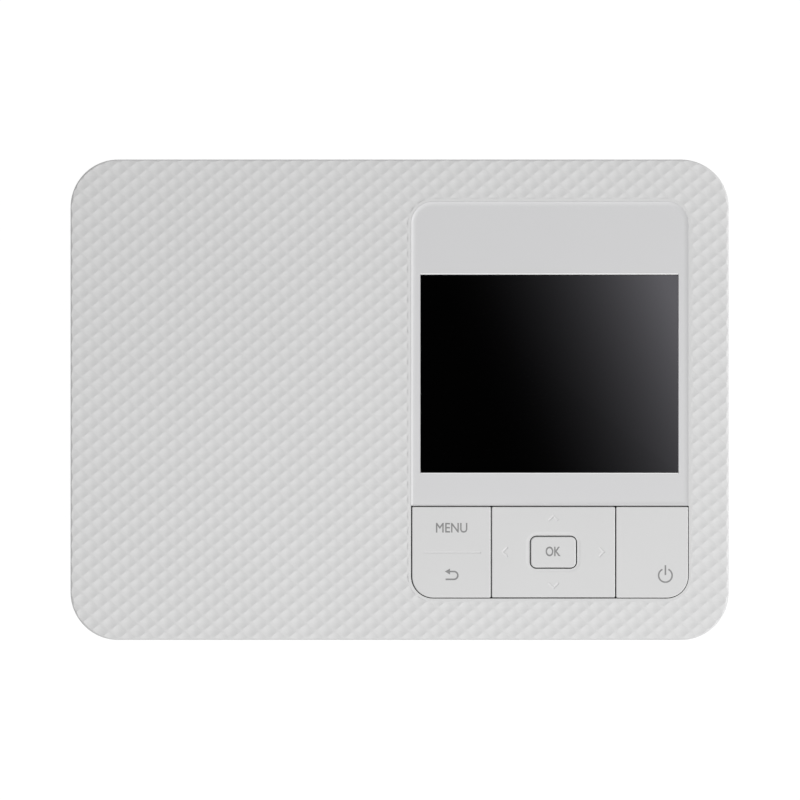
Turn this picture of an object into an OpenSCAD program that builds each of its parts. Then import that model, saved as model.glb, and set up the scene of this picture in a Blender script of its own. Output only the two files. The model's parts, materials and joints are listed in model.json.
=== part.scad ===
// Compact photo printer: a flat box with a colour screen and keys on top, a paper
// bay behind a drop-down door in front, and an ink ribbon cassette behind a
// drop-down door on the right. Millimetres. The origin is the middle of the
// underside, +X to the right, +Y to the back and +Z up.

/* [Case] */
// Overall width, left to right
body_w = 182.2; // [180:0.2:190]
// Overall depth, front to back
body_d = 133; // [131:0.5:140]
// Overall height, feet included
body_h = 57.6; // [57:0.2:62]
// Radius of the four upright corners
corner_r = 13.2; // [11:0.2:14]
// Wall thickness of the moulded shells
wall = 2; // [1.6:0.1:2.2]
// Thickness of the top cover's plate
cover_t = 2.2; // [1.8:0.1:2.6]
// Height of the rubber feet below the base
foot_h = 1.4; // [1:0.1:2]

/* [Display and keys] */
// Width of the island that holds the screen and the keys
island_w = 76.55; // [74:0.05:78]
// Depth of the island, front to back
island_d = 109.6; // [106:0.1:112]
// Corner radius of the island
island_r = 6; // [4:0.2:8]
// Width of the gap round the keys
key_gap = 0.3; // [0.25:0.05:0.5]
// Width of the glossy screen
screen_w = 71.3; // [68:0.1:72]
// Depth of the glossy screen, front to back
screen_d = 54.7; // [50:0.2:56]

/* [Doors] */
// Width of the paper bay's door
front_door_w = 116; // [112:1:118]
// Depth of the ink door, front to back
ink_door_w = 74; // [72:1:76]

/* [Feed train] */
// Gear tooth module
gear_m = 0.5; // [0.4:0.1:0.6]
// Teeth on the platen's gear and on the capstan's gear
roller_teeth = 36; // [30:2:38]
// Teeth on the idler between them
idler_teeth = 42; // [38:2:46]
// Teeth on both motor pinions
pinion_teeth = 12; // [12:1:14]
// Teeth on the ribbon's gear
ribbon_teeth = 32; // [28:2:34]

/* [Hidden] */
$fn = 48;
eps = 0.01;

// Case levels and outlines
base_top = 13;
seam_z = body_h - 5.6;
cover_under = body_h - cover_t;
shell_inset = 0.6;
base_inset = 1.2;
shell_x = body_w / 2 - shell_inset;
shell_y = body_d / 2 - shell_inset;
base_x = body_w / 2 - base_inset;
base_y = body_d / 2 - base_inset;
floor_z = foot_h + wall;
pillar_x = body_w / 2 - 11.1;
pillar_y = body_d / 2 - 10.5;
foot_x = 66;
foot_y = 50;
foot_r = 5.5;

// Island on the top cover
island_x = 41.56;
island_y = -0.06;
keys_back = -29.47;
gap_left = 25.34;
gap_right = 59.74;
screen_x = 41.42;
screen_y = 7.2;
ok_x = 42.53;
ok_y = -42.18;
ok_w = 12.82;
ok_d = 8.89;
tray_drop = 0.3;
tray_edge = 0.7;
panel_fit = 0.03;
key_t = 2.2;
key_under = body_h - key_t;
island_front = island_y - island_d / 2;
island_left = island_x - island_w / 2;
island_right = island_x + island_w / 2;
pin_z = body_h - 3.2;
board_z = body_h - 6.4;
board_t = 1.2;
switch_z = board_z + board_t;
rock_y = ok_y;
power_pin_y = keys_back - 2.3;
plunger_z = body_h - 3.25;

// Chassis side plates, left face of each
plate_t = 1.2;
left_x = -52;
right_x = 62;
plate_top = seam_z - 2.6;
stay_t = 1.4;
main_board_z = plate_top + stay_t;

// Paper path and rollers, across the machine at paper_z
paper_z = 29;
platen_r = 5;
platen_y = 13;
platen_z = paper_z - platen_r;
capstan_r = 4;
capstan_y = 52;
capstan_z = paper_z - capstan_r;
pinch_r = 3;
pinch_z = paper_z + 0.1 + pinch_r;
roll_x0 = -46.5;
roll_x1 = 57.5;
shaft_r = 2;
bush_r = 3.5;
run = 0.05;
pick_y = -22;
pick_z = 29;
pick_arm = 18;
pick_r = 4.5;

// Gear planes, left face of each, and gear centres
feed_x = -56;
ribbon_x = -60.6;
gear_t = 2.4;
bracket_x = -62;
roller_gear_r = gear_m * roller_teeth / 2;
idler_r = gear_m * idler_teeth / 2;
pinion_r = gear_m * pinion_teeth / 2;
ribbon_r = gear_m * ribbon_teeth / 2;
idler_y = (platen_y + capstan_y) / 2;
idler_z = (platen_z + capstan_z) / 2;
pinion_dir = -60;
pinion_reach = idler_r + pinion_r + 0.02;
pinion_y = idler_y + pinion_reach * cos(pinion_dir);
pinion_z = idler_z + pinion_reach * sin(pinion_dir);
motor_r = 8;
motor_len = 18;

// Ink cassette lobes and film
lobe_r = 8.5;
lobe_t = 1;
lobe_z = 38.7;
supply_y = -10;
takeup_y = 36;
lobe_x0 = -49;
lobe_x1 = 70;
supply_r = 6;
takeup_r = 4.5;
film_z = 30.3;
film_t = 0.2;
journal_r = 3;
ribbon_pinion_y = takeup_y - ribbon_r - pinion_r - 0.02;

// Print head, drawn in its raised, parked place
head_x0 = -44;
head_x1 = 56;
head_z = 36.8;
head_pin_z = 45.5;
head_travel = 6.2;

// Doors: hinge axes
front_door_x = 6;
front_axis_y = -(body_d / 2 - 2.2);
front_axis_z = 6.8;
front_door_top = 25;
ink_door_y = 13;
ink_axis_x = body_w / 2 - 1.8;
ink_axis_z = 16.8;
ink_door_top = 49.6;
door_gap = 0.3;
door_t = 1.8;
pin_r = 0.6;

// Rear connectors and the fan
io_x = 70;
jack_z = 20;
usb_z = 34;
io_y = 57;
jack_pin_r = 0.85;
fan_y = -33.5;
fan_z = 26.5;
fan_w = 25;
fan_x = -(body_w / 2 - 3.7);

// ---- Shapes that repeat ----

// A flat outline with round corners about the origin
module outline(w, d, r) {
    square([w - 2 * r, d], center = true);
    square([w, d - 2 * r], center = true);
    for (x = [-1, 1], y = [-1, 1])
        translate([x * (w / 2 - r), y * (d / 2 - r)])
            circle(r);
}

// The outline raised from z0 to z1
module slab(w, d, r, z0, z1) {
    translate([0, 0, z0])
        linear_extrude(z1 - z0)
            outline(w, d, r);
}

// A box between two opposite corners
module bar(low, high) {
    translate(low)
        cube(high - low);
}

// A round rod along X, from x0 to x1
module rod_x(r, x0, x1, y, z) {
    translate([x0, y, z])
        rotate([0, 90, 0])
            cylinder(r = r, h = x1 - x0);
}

// A round rod along Y, from y0 to y1
module rod_y(r, x, y0, y1, z) {
    translate([x, y1, z])
        rotate([90, 0, 0])
            cylinder(r = r, h = y1 - y0);
}

// A round rod along Z, from z0 to z1
module rod_z(r, x, y, z0, z1) {
    translate([x, y, z0])
        cylinder(r = r, h = z1 - z0);
}

// A shape drawn in Y and Z, given thickness along X from x0
module across(x0, t) {
    translate([x0, 0, 0])
        rotate([90, 0, 90])
            linear_extrude(t)
                children();
}

module at_corners(x, y) {
    for (side = [-1, 1], end = [-1, 1])
        translate([side * x, end * y, 0])
            children();
}

// A part of the island between two X lines and two Y lines, less a margin all round
module island_cell(x0, x1, y0, y1, z0, z1, less = key_gap / 2) {
    translate([0, 0, z0])
        linear_extrude(z1 - z0)
            intersection() {
                translate([island_x, island_y])
                    outline(island_w - 2 * less, island_d - 2 * less, island_r - less);
                translate([x0 + less, y0 + less])
                    square([x1 - x0 - 2 * less, y1 - y0 - 2 * less]);
            }
}

// Involute of a pressure angle, in degrees
function involute(a) = tan(a) * 180 / PI - a;
// Half the angle of a tooth at radius r, with a little taken off for backlash
function tooth_half(r, teeth) =
    let (pitch_r = gear_m * teeth / 2, base_r = pitch_r * cos(25))
    90 / teeth - 0.06 / pitch_r * 180 / PI + involute(25)
        - (r > base_r ? involute(acos(base_r / r)) : 0);

// A spur gear's outline, with a tooth centred at angle turn
module gear_outline(teeth, turn) {
    pitch_r = gear_m * teeth / 2;
    root_r = pitch_r - 1.2 * gear_m;
    tip_r = pitch_r + 0.9 * gear_m;
    radii = [root_r, pitch_r - 0.5 * gear_m, pitch_r, pitch_r + 0.5 * gear_m, tip_r];
    polygon([
        for (k = [0:teeth - 1])
            for (i = [0:9])
                let (
                    r = i < 5 ? radii[i] : radii[9 - i],
                    a = turn + k * 360 / teeth + (i < 5 ? -1 : 1) * tooth_half(r, teeth)
                )
                [r * cos(a), r * sin(a)]
    ]);
}

// The turn that puts a gear in mesh with one already placed, which lies the other
// way along direction dir and has a tooth centred at other_turn
function mesh_turn(dir, other_teeth, other_turn, teeth) =
    dir + 180 - 360 / teeth * (0.5 - (dir - other_turn) * other_teeth / 360);

module gear_x(teeth, turn, x0, y, z, bore) {
    across(x0, gear_t)
        translate([y, z])
            difference() {
                gear_outline(teeth, turn);
                circle(bore);
            }
}

// ---- Case ----

// Lower tray with the floor, screw bosses and foot seats
module base_shell() {
    w = 2 * base_x;
    d = 2 * base_y;
    r = corner_r - base_inset;
    color("whitesmoke")
        difference() {
            union() {
                difference() {
                    hull() {
                        slab(w, d, r, foot_h + 1.5, base_top);
                        slab(w - 3, d - 3, r - 1.5, foot_h, base_top);
                    }
                    slab(w - 2 * wall, d - 2 * wall, r - wall, floor_z, base_top + 1);
                }
                at_corners(pillar_x, pillar_y)
                    rod_z(4, 0, 0, floor_z - eps, base_top);
                for (x = [-36, 46], y = [14, 50])
                    rod_z(3.5, x, y, floor_z - eps, floor_z + 2);
            }
            at_corners(pillar_x, pillar_y) {
                rod_z(1.6, 0, 0, foot_h - 1, base_top + 1);
                rod_z(3.2, 0, 0, foot_h - 1, foot_h + 2.6);
            }
            at_corners(foot_x, foot_y)
                rod_z(foot_r + 0.1, 0, 0, foot_h - 1, foot_h + 0.6);
            for (x = [-36, 46], y = [14, 50])
                rod_z(1.25, x, y, foot_h + 1, floor_z + 3);
            front_mouth();
            front_pin_bores();
        }
}

// The mouth that the front door closes
module front_mouth() {
    half = front_door_w / 2 + door_gap;
    bar([front_door_x - half, -body_d, front_axis_z - 2.2],
        [front_door_x + half, -base_y + wall + 0.7, front_door_top + door_gap]);
}

module front_pin_bores() {
    for (side = [-1, 1]) {
        end = front_door_x + side * front_door_w / 2;
        rod_x(pin_r, end - 3, end + 3, front_axis_y, front_axis_z);
    }
}

// The mouth that the ink door closes
module ink_mouth() {
    half = ink_door_w / 2 + door_gap;
    bar([shell_x - wall - 1, ink_door_y - half, ink_axis_z - 1.9],
        [body_w, ink_door_y + half, ink_door_top + door_gap]);
}

// Middle ring of the case, between the base and the top cover
module body_shell() {
    w = 2 * shell_x;
    d = 2 * shell_y;
    r = corner_r - shell_inset;
    color("whitesmoke")
        difference() {
            union() {
                difference() {
                    slab(w, d, r, base_top, seam_z);
                    slab(w - 2 * wall, d - 2 * wall, r - wall, base_top - 1, seam_z + 1);
                }
                for (y = [-1, 1], z = [-1, 1])
                    rod_x(1.6, -shell_x + wall - eps, fan_x,
                        fan_y + y * (fan_w / 2 - 2), fan_z + z * (fan_w / 2 - 2));
            }
            front_mouth();
            ink_mouth();
            for (end = [-1, 1])
                rod_y(pin_r, ink_axis_x, ink_door_y + end * ink_door_w / 2 - 3,
                    ink_door_y + end * ink_door_w / 2 + 3, ink_axis_z);
            // paper slot at the back
            bar([-48, shell_y - wall - 1, paper_z - 2.6], [60, body_d, paper_z + 3]);
            // card slot on the left, under the top cover
            bar([-body_w, -31.5, seam_z - 4.6], [-shell_x + wall + 1, -6.5, seam_z - 1.8]);
            // air slots on the left and at the back
            for (i = [-4:4])
                bar([-body_w, fan_y + i * 2.6 - 0.7, fan_z - 9],
                    [-shell_x + wall + 1, fan_y + i * 2.6 + 0.7, fan_z + 9]);
            for (i = [0:6])
                bar([-74 + i * 3 - 0.7, shell_y - wall - 1, 20],
                    [-74 + i * 3 + 0.7, body_d, 44]);
            // connectors at the back
            rod_y(4.1, io_x, shell_y - wall - 1, body_d, jack_z);
            bar([io_x - 5.2, shell_y - wall - 1, usb_z - 2.3], [io_x + 5.2, body_d, usb_z + 2.3]);
        }
}

// Top cover with its screw pillars and the opening for the island
module top_cover() {
    inner_w = body_w - 2 * wall;
    inner_d = body_d - 2 * wall;
    color("gainsboro")
        difference() {
            union() {
                difference() {
                    hull() {
                        slab(body_w, body_d, corner_r, seam_z, body_h - 0.8);
                        slab(body_w - 1.2, body_d - 1.2, corner_r - 0.6, seam_z, body_h);
                    }
                    slab(inner_w, inner_d, corner_r - wall, seam_z - 1, cover_under);
                }
                at_corners(pillar_x, pillar_y)
                    rod_z(3, 0, 0, base_top, cover_under + eps);
            }
            translate([island_x, island_y, 0])
                slab(island_w + key_gap, island_d + key_gap, island_r + key_gap / 2,
                    seam_z - 1, body_h + 1);
            at_corners(pillar_x, pillar_y)
                rod_z(1.15, 0, 0, base_top - 1, base_top + 16);
        }
}

// Shallow tray round the screen, clipped under the top cover
module display_panel() {
    back = island_y + island_d / 2;
    fit = panel_fit - key_gap / 2;
    color("gainsboro")
        difference() {
            union() {
                island_cell(island_left - 1, island_right + 1, keys_back + key_gap / 2 - fit,
                    back + 1, cover_under - 1, body_h, fit);
                // flange under the cover, on three sides
                intersection() {
                    translate([island_x, island_y, 0])
                        slab(island_w + 3.6, island_d + 3.6, island_r + 1.8,
                            cover_under - 1, cover_under);
                    bar([0, keys_back + 1, 0], [body_w, body_d, body_h]);
                }
                // clips that hold the screen module
                for (side = [-1, 1], y = [-16, 12])
                    bar([screen_x + side * 38 - 0.9, screen_y + y, cover_under - 3.2],
                        [screen_x + side * 38 + 0.9, screen_y + y + 8, cover_under]);
            }
            island_cell(island_left, island_right, keys_back, back + 1,
                body_h - tray_drop, body_h + 1, tray_edge);
            translate([screen_x, screen_y, 0]) {
                slab(screen_w + 0.2, screen_d + 0.2, 0.6, body_h - 1.6, body_h + 1);
                slab(screen_w - 3, screen_d - 3, 0.6, cover_under - 2, body_h);
            }
            // room for the cover's pillar at the flange's corner
            rod_z(3.3, pillar_x, pillar_y, cover_under - 2, cover_under);
        }
}

// Cover glass, set in the tray
module screen_glass() {
    color([0.03, 0.03, 0.03])
        translate([screen_x, screen_y, 0])
            slab(screen_w, screen_d, 0.5, body_h - 1.6, body_h - tray_drop - 0.05);
}

// Screen module under the glass
module lcd_module() {
    color("dimgray")
        translate([screen_x, screen_y, 0])
            slab(screen_w + 2.4, screen_d + 3, 1, cover_under - 4, cover_under - 1);
}

// ---- Keys ----

// Pivot pins along X at both ends of a key's lug, drawn with the lug
module key_lug(x0, x1, y) {
    bar([x0, y - 1.1, pin_z - 0.9], [x1, y + 1.1, key_under + eps]);
    rod_x(pin_r, x0 - 1.4, x1 + 1.4, y, pin_z);
}

// A plunger under a key
module plunger(x, y) {
    rod_z(1, x, y, plunger_z, key_under + eps);
}

// Left key: a rocker with one function at each end
module menu_key() {
    color("gainsboro") {
        island_cell(island_left, gap_left, island_front, keys_back, key_under, body_h);
        key_lug(7, 21.5, rock_y);
        plunger(14, rock_y + 9);
        plunger(14, rock_y - 9);
    }
}

// Middle key: a pad that tilts four ways round the middle button
module nav_pad() {
    color("gainsboro") {
        difference() {
            island_cell(gap_left, gap_right, island_front, keys_back, key_under, body_h);
            translate([ok_x, ok_y, 0])
                slab(ok_w + key_gap, ok_d + key_gap, 1.9, key_under - 1, body_h + 1);
            // room over the frame's lugs when the pad tilts
            for (side = [-1, 1])
                bar([ok_x + side * 10 - 0.9, ok_y - 1.6, key_under - 1],
                    [ok_x + side * 10 + 0.9, ok_y + 1.6, key_under + 0.4]);
        }
        for (end = [-1, 1])
            difference() {
                bar([ok_x - 1.3, ok_y + end * 7.7 - 0.5, pin_z - 1],
                    [ok_x + 1.3, ok_y + end * 7.7 + 0.5, key_under + eps]);
                rod_y(pin_r + run, ok_x, ok_y + end * 7.7 - 1, ok_y + end * 7.7 + 1, pin_z);
            }
        for (side = [-1, 1]) {
            plunger(ok_x + side * 13.5, ok_y);
            plunger(ok_x, ok_y + side * 10.4);
        }
    }
}

// Gimbal ring under the middle key, round the button's stem
module nav_gimbal() {
    color("dimgray") {
        difference() {
            bar([ok_x - 8.6, ok_y - 6.6, pin_z - 0.7], [ok_x + 8.6, ok_y + 6.6, pin_z + 0.7]);
            bar([ok_x - 6.8, ok_y - 4.8, pin_z - 2], [ok_x + 6.8, ok_y + 4.8, pin_z + 2]);
        }
        for (side = [-1, 1]) {
            rod_x(pin_r, ok_x + side * 9.5 - 1.1, ok_x + side * 9.5 + 1.1, ok_y, pin_z);
            rod_y(pin_r, ok_x, ok_y + side * 7.3 - 0.9, ok_y + side * 7.3 + 0.9, pin_z);
        }
    }
}

// Button in the middle of the pad
module ok_key() {
    color("gainsboro") {
        translate([ok_x, ok_y, 0])
            slab(ok_w - key_gap, ok_d - key_gap, 1.5, key_under + 0.2, body_h);
        rod_z(1.6, ok_x, ok_y, plunger_z, key_under + 0.3);
    }
}

// Right key, hinged along its back edge
module power_key() {
    color("gainsboro") {
        island_cell(gap_right, island_right, island_front, keys_back, key_under, body_h);
        key_lug(64, 76, power_pin_y);
        plunger(70, power_pin_y - 14.4);
    }
}

// A bearing lug on the key frame, with its bore along X
module frame_lug(x, y) {
    difference() {
        bar([x - 0.6, y - 1.2, switch_z], [x + 0.6, y + 1.2, key_under - 0.2]);
        rod_x(pin_r + run, x - 1, x + 1, y, pin_z);
    }
}

key_spots = [
    [14, rock_y + 9], [14, rock_y - 9], [ok_x - 13.5, ok_y], [ok_x + 13.5, ok_y],
    [ok_x, ok_y - 10.4], [ok_x, ok_y + 10.4], [ok_x, ok_y], [70, power_pin_y - 14.4]];

// Moulded frame on the key board that carries every key's bearings
module key_frame() {
    top = switch_z + 0.8;
    color("dimgray") {
        difference() {
            union() {
                bar([0, -50, switch_z], [83, -30.6, top]);
                bar([5, -55, switch_z], [76, -50, top]);
            }
            for (spot = key_spots)
                bar([spot[0] - 2.3, spot[1] - 2.3, switch_z - 1],
                    [spot[0] + 2.3, spot[1] + 2.3, top + 1]);
            bar([ok_x - 9.2, ok_y - 8.4, switch_z - 1], [ok_x + 9.2, ok_y + 8.4, top + 1]);
        }
        for (x = [6.2, 22.3])
            frame_lug(x, rock_y);
        for (side = [-1, 1])
            frame_lug(ok_x + side * 10, ok_y);
        for (x = [63.2, 76.8])
            frame_lug(x, power_pin_y);
        for (x = [1.4, 82], y = [-47, -33])
            rod_z(1.3, x, y, switch_z, cover_under);
    }
}

module key_board() {
    color("darkgreen")
        bar([4.5, -55, board_z], [76.5, -30.6, switch_z]);
}

// Eight press switches, each a square body and a round button
module key_switches() {
    color("silver")
        for (spot = key_spots) {
            bar([spot[0] - 1.8, spot[1] - 1.8, switch_z], [spot[0] + 1.8, spot[1] + 1.8, switch_z + 1]);
            rod_z(0.9, spot[0], spot[1], switch_z + 1 - eps, plunger_z - 0.5);
        }
}

// ---- Underside ----

module rubber_feet() {
    color("dimgray")
        at_corners(foot_x, foot_y)
            rod_z(foot_r, 0, 0, 0, foot_h + 0.6);
}

// Cross-head screws from the base up into the cover's pillars
module case_screws() {
    color("silver")
        at_corners(pillar_x, pillar_y)
            difference() {
                union() {
                    rod_z(2.9, 0, 0, foot_h + 0.9, foot_h + 2.6);
                    rod_z(1.1, 0, 0, foot_h + 2, base_top + 12);
                }
                for (turn = [0, 90])
                    rotate(turn)
                        bar([-1.6, -0.3, foot_h], [1.6, 0.3, foot_h + 1.9]);
            }
}

// ---- Chassis ----

// Outline of a side plate in Y and Z, with lightening holes
module plate_outline() {
    difference() {
        translate([-56, floor_z])
            square([116, plate_top - floor_z]);
        translate([-45, 14])
            circle(5);
        translate([-30, 14])
            circle(5);
        translate([-48, 34])
            circle(5);
        translate([-34, 38])
            circle(4);
    }
}

// Upright slots for the print head's guide pins
module head_slots() {
    for (y = [platen_y - 5, platen_y + 5]) {
        low = head_pin_z - head_travel - 0.1;
        translate([y, low])
            circle(1.55);
        translate([y, head_pin_z + 0.1])
            circle(1.55);
        translate([y - 1.55, low])
            square([3.1, head_travel + 0.2]);
    }
}

// Bores that both side plates have
module roller_bores() {
    translate([platen_y, platen_z])
        circle(bush_r);
    translate([capstan_y, capstan_z])
        circle(bush_r);
    translate([capstan_y, pinch_z])
        circle(1.2 + run);
    translate([pick_y, pick_z])
        circle(1.5 + run);
}

// Left side plate, which carries the gear trains
module chassis_left() {
    color("silver")
        across(left_x, plate_t)
            difference() {
                plate_outline();
                roller_bores();
                head_slots();
                translate([takeup_y, lobe_z])
                    circle(shaft_r + run);
            }
}

// Right side plate, with the opening that the ink cassette goes through
module chassis_right() {
    color("silver") {
        across(right_x, plate_t)
            difference() {
                plate_outline();
                roller_bores();
                head_slots();
                for (y = [supply_y, takeup_y])
                    translate([y, lobe_z])
                        circle(lobe_r + 0.5);
                translate([supply_y, film_z - 0.8])
                    square([takeup_y - supply_y, 36.6 - film_z + 0.8]);
            }
        rod_x(1.5, right_x + plate_t - eps, right_x + 9, -26, 24);
    }
}

// Floor plate between the side plates
module chassis_base() {
    z = floor_z + 2;
    color("silver")
        difference() {
            bar([left_x + plate_t, 6, z], [right_x, 58, z + plate_t]);
            for (x = [-36, 46], y = [14, 50])
                rod_z(1.5, x, y, z - 1, z + 3);
        }
}

// Two bars that tie the side plates together at the top
module chassis_stays() {
    color("silver")
        for (y = [-54, 47])
            bar([left_x, y, plate_top], [right_x + plate_t, y + 6, plate_top + stay_t]);
}

// Pan-head screws of the chassis and of the main board
module chassis_screws() {
    z = floor_z + 2 + plate_t;
    color("silver") {
        for (x = [-36, 46], y = [14, 50]) {
            rod_z(2.6, x, y, z, z + 1.5);
            rod_z(1.2, x, y, z - 3.6, z + eps);
        }
        for (x = [-44, -14], y = [-49.5, 49.5])
            rod_z(2.2, x, y, main_board_z + 1.6, main_board_z + 2.8);
    }
}

// Plain bearings of the platen and the capstan, pressed in the side plates
module roller_bushes() {
    color("white")
        for (x = [left_x, right_x]) {
            for (spot = [[platen_y, platen_z], [capstan_y, capstan_z]])
                difference() {
                    rod_x(bush_r, x, x + plate_t, spot[0], spot[1]);
                    rod_x(shaft_r + run, x - 1, x + 3, spot[0], spot[1]);
                }
        }
}

// Ramp up from the paper bay, and the flat guide behind the platen
module paper_guide() {
    x0 = left_x + plate_t;
    wide = right_x - x0;
    color("dimgray") {
        across(x0, wide)
            polygon([
                [4.4, floor_z], [5.6, floor_z], [5.6, 20], [8.4, paper_z - 0.8],
                [7.2, paper_z - 0.6], [4.4, 20.6]]);
        bar([x0, 19.2, paper_z - 1.8], [right_x, 46.8, paper_z - 0.6]);
        for (y = [22, 30, 38])
            bar([x0, y, floor_z + 2 + plate_t], [x0 + 1.2, y + 1.4, paper_z - 1.7]);
    }
}

// ---- Rollers and gears ----

platen_turn = 0;
idler_turn = mesh_turn(atan2(idler_z - platen_z, idler_y - platen_y),
    roller_teeth, platen_turn, idler_teeth);
capstan_turn = mesh_turn(atan2(capstan_z - idler_z, capstan_y - idler_y),
    idler_teeth, idler_turn, roller_teeth);
pinion_turn = mesh_turn(pinion_dir, idler_teeth, idler_turn, pinion_teeth);
ribbon_pinion_turn = mesh_turn(180, ribbon_teeth, 0, pinion_teeth);

module platen_shaft() {
    color("silver")
        rod_x(shaft_r, feed_x - 0.4, right_x + 4, platen_y, platen_z);
}

module platen_roller() {
    color("dimgray")
        difference() {
            rod_x(platen_r, roll_x0, roll_x1, platen_y, platen_z);
            rod_x(shaft_r, roll_x0 - 1, roll_x1 + 1, platen_y, platen_z);
        }
}

module platen_gear() {
    color("white")
        gear_x(roller_teeth, platen_turn, feed_x, platen_y, platen_z, shaft_r);
}

module feed_idler() {
    color("white")
        gear_x(idler_teeth, idler_turn, feed_x, idler_y, idler_z, 1.5 + run);
}

// A motor's turning spindle with its pinion
module spindle(x, turn, y, z) {
    gear_x(pinion_teeth, turn, x, y, z, 1);
    rod_x(1, bracket_x - 8, x + gear_t + 0.3, y, z);
}

module feed_pinion() {
    color("goldenrod")
        spindle(feed_x, pinion_turn, pinion_y, pinion_z);
}

// A motor can with its blind spindle hole, on the bracket's left face
module motor(y, z) {
    difference() {
        union() {
            rod_x(motor_r, bracket_x - motor_len, bracket_x, y, z);
            rod_x(2.6, bracket_x - motor_len - 1.2, bracket_x, y, z);
        }
        rod_x(1 + run, bracket_x - 9, bracket_x + 1, y, z);
    }
}

module feed_motor() {
    color("silver")
        motor(pinion_y, pinion_z);
}

module ribbon_motor() {
    color("silver")
        motor(ribbon_pinion_y, lobe_z);
}

module ribbon_pinion() {
    color("goldenrod")
        spindle(ribbon_x, ribbon_pinion_turn, ribbon_pinion_y, lobe_z);
}

// Gear on the take-up drive shaft, with the cross-shaped dog at its far end
module ribbon_gear() {
    dog_x = left_x + plate_t;
    color("white") {
        gear_x(ribbon_teeth, 0, ribbon_x, takeup_y, lobe_z, shaft_r);
        rod_x(shaft_r, bracket_x + 0.1, dog_x + 0.2, takeup_y, lobe_z);
        dog(4.2, 1, dog_x + 0.1, dog_x + 1.8);
    }
}

// Two crossed bars on the take-up axis
module dog(long, thick, x0, x1) {
    bar([x0, takeup_y - long / 2, lobe_z - thick / 2], [x1, takeup_y + long / 2, lobe_z + thick / 2]);
    bar([x0, takeup_y - thick / 2, lobe_z - long / 2], [x1, takeup_y + thick / 2, lobe_z + long / 2]);
}

// Plate that holds both motors, with its posts and the idler's fixed axle
module gear_bracket() {
    posts = [[20, 8], [52, 8], [22.5, 46], [52, 45]];
    color("silver") {
        difference() {
            bar([bracket_x, 14, 5], [bracket_x + 1, 56, plate_top - 1]);
            rod_x(2.2, bracket_x - 1, bracket_x + 2, pinion_y, pinion_z);
            rod_x(2.2, bracket_x - 1, bracket_x + 2, ribbon_pinion_y, lobe_z);
            rod_x(shaft_r + run, bracket_x - 1, bracket_x + 2, takeup_y, lobe_z);
            rod_x(5, bracket_x - 1, bracket_x + 2, platen_y + 9, 24);
        }
        for (spot = posts)
            rod_x(1.8, bracket_x + 1 - eps, left_x, spot[0], spot[1]);
        rod_x(1.5, bracket_x + 1 - eps, left_x, idler_y, idler_z);
    }
}

// Grit-coated feed roller at the back
module capstan_roller() {
    color("silver") {
        rod_x(capstan_r, roll_x0, roll_x1, capstan_y, capstan_z);
        rod_x(shaft_r, feed_x - 0.4, right_x + 3, capstan_y, capstan_z);
    }
}

module capstan_gear() {
    color("white")
        gear_x(roller_teeth, capstan_turn, feed_x, capstan_y, capstan_z, shaft_r);
}

module pinch_roller() {
    color("dimgray") {
        rod_x(pinch_r, roll_x0, roll_x1, capstan_y, pinch_z);
        rod_x(1.2, left_x - 0.8, right_x + plate_t + 0.8, capstan_y, pinch_z);
    }
}

// Arm that lowers the pick-up roller on the paper
module pickup_arm() {
    color("white") {
        rod_x(1.5, left_x - 1, right_x + plate_t + 1, pick_y, pick_z);
        for (x = [-20, 29])
            difference() {
                union() {
                    bar([x, pick_y - pick_arm, pick_z - 1.8], [x + 3, pick_y, pick_z + 1.8]);
                    rod_x(2.8, x, x + 3, pick_y, pick_z);
                    rod_x(2.8, x, x + 3, pick_y - pick_arm, pick_z);
                }
                rod_x(1.2 + run, x - 1, x + 4, pick_y - pick_arm, pick_z);
            }
        bar([-18, pick_y - 4, pick_z - 1], [30, pick_y, pick_z + 1]);
    }
}

// Pick-up roller: two tyres on one spindle
module pickup_roller() {
    color("dimgray") {
        rod_x(1.2, -21.5, 33.5, pick_y - pick_arm, pick_z);
        for (x = [-14, 14])
            rod_x(pick_r, x, x + 12, pick_y - pick_arm, pick_z);
    }
}

// ---- Ink cassette ----

// Two tubes joined by low bars at the ends and by the grip outside the side plate
module cassette_shell() {
    inner = lobe_r - lobe_t;
    color([0.18, 0.18, 0.2])
        difference() {
            union() {
                for (y = [supply_y, takeup_y])
                    rod_x(lobe_r, lobe_x0, lobe_x1, y, lobe_z);
                for (x = [lobe_x0, 58.5])
                    bar([x, supply_y, film_z + 0.7], [x + 2.5, takeup_y, 36]);
                bar([lobe_x1, supply_y - 7, 31], [lobe_x1 + 4, takeup_y + 7, 46.4]);
            }
            for (y = [supply_y, takeup_y]) {
                rod_x(inner, lobe_x0 + 1, 59, y, lobe_z);
                rod_x(inner, 60, lobe_x1, y, lobe_z);
                rod_x(4.5, lobe_x1 - 1, lobe_x1 + 5, y, lobe_z);
                rod_x(journal_r + run, lobe_x0 - 1, 61, y, lobe_z);
            }
            bar([-45, supply_y, film_z - 1.3], [57, supply_y + lobe_r + 1, 33.6]);
            bar([-45, takeup_y - lobe_r - 1, film_z - 1.3], [57, takeup_y, 34.9]);
            // finger scoop in the grip
            bar([lobe_x1 + 1.5, 5, 33], [lobe_x1 + 5, 21, 44.4]);
        }
}

// Dye film between the two spools
module ink_ribbon() {
    t = film_t;
    path = [[supply_y, film_z + 2], [supply_y + 5.5, film_z],
        [takeup_y - 5.5, film_z], [takeup_y, film_z + 3.5]];
    color([0.75, 0.2, 0.45])
        across(head_x0 + 1, head_x1 - head_x0 - 2)
            polygon(concat(path, [for (i = [3:-1:0]) path[i] + [0, t]]));
}

// A spool with its film, flanges and journals
module spool(y, film_r) {
    rod_x(film_r, -43.5, 55, y, lobe_z);
    rod_x(6.9, -44.5, -43.5, y, lobe_z);
    rod_x(6.9, 55, 56, y, lobe_z);
    rod_x(journal_r, lobe_x0 - 0.6, 60.6, y, lobe_z);
}

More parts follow.
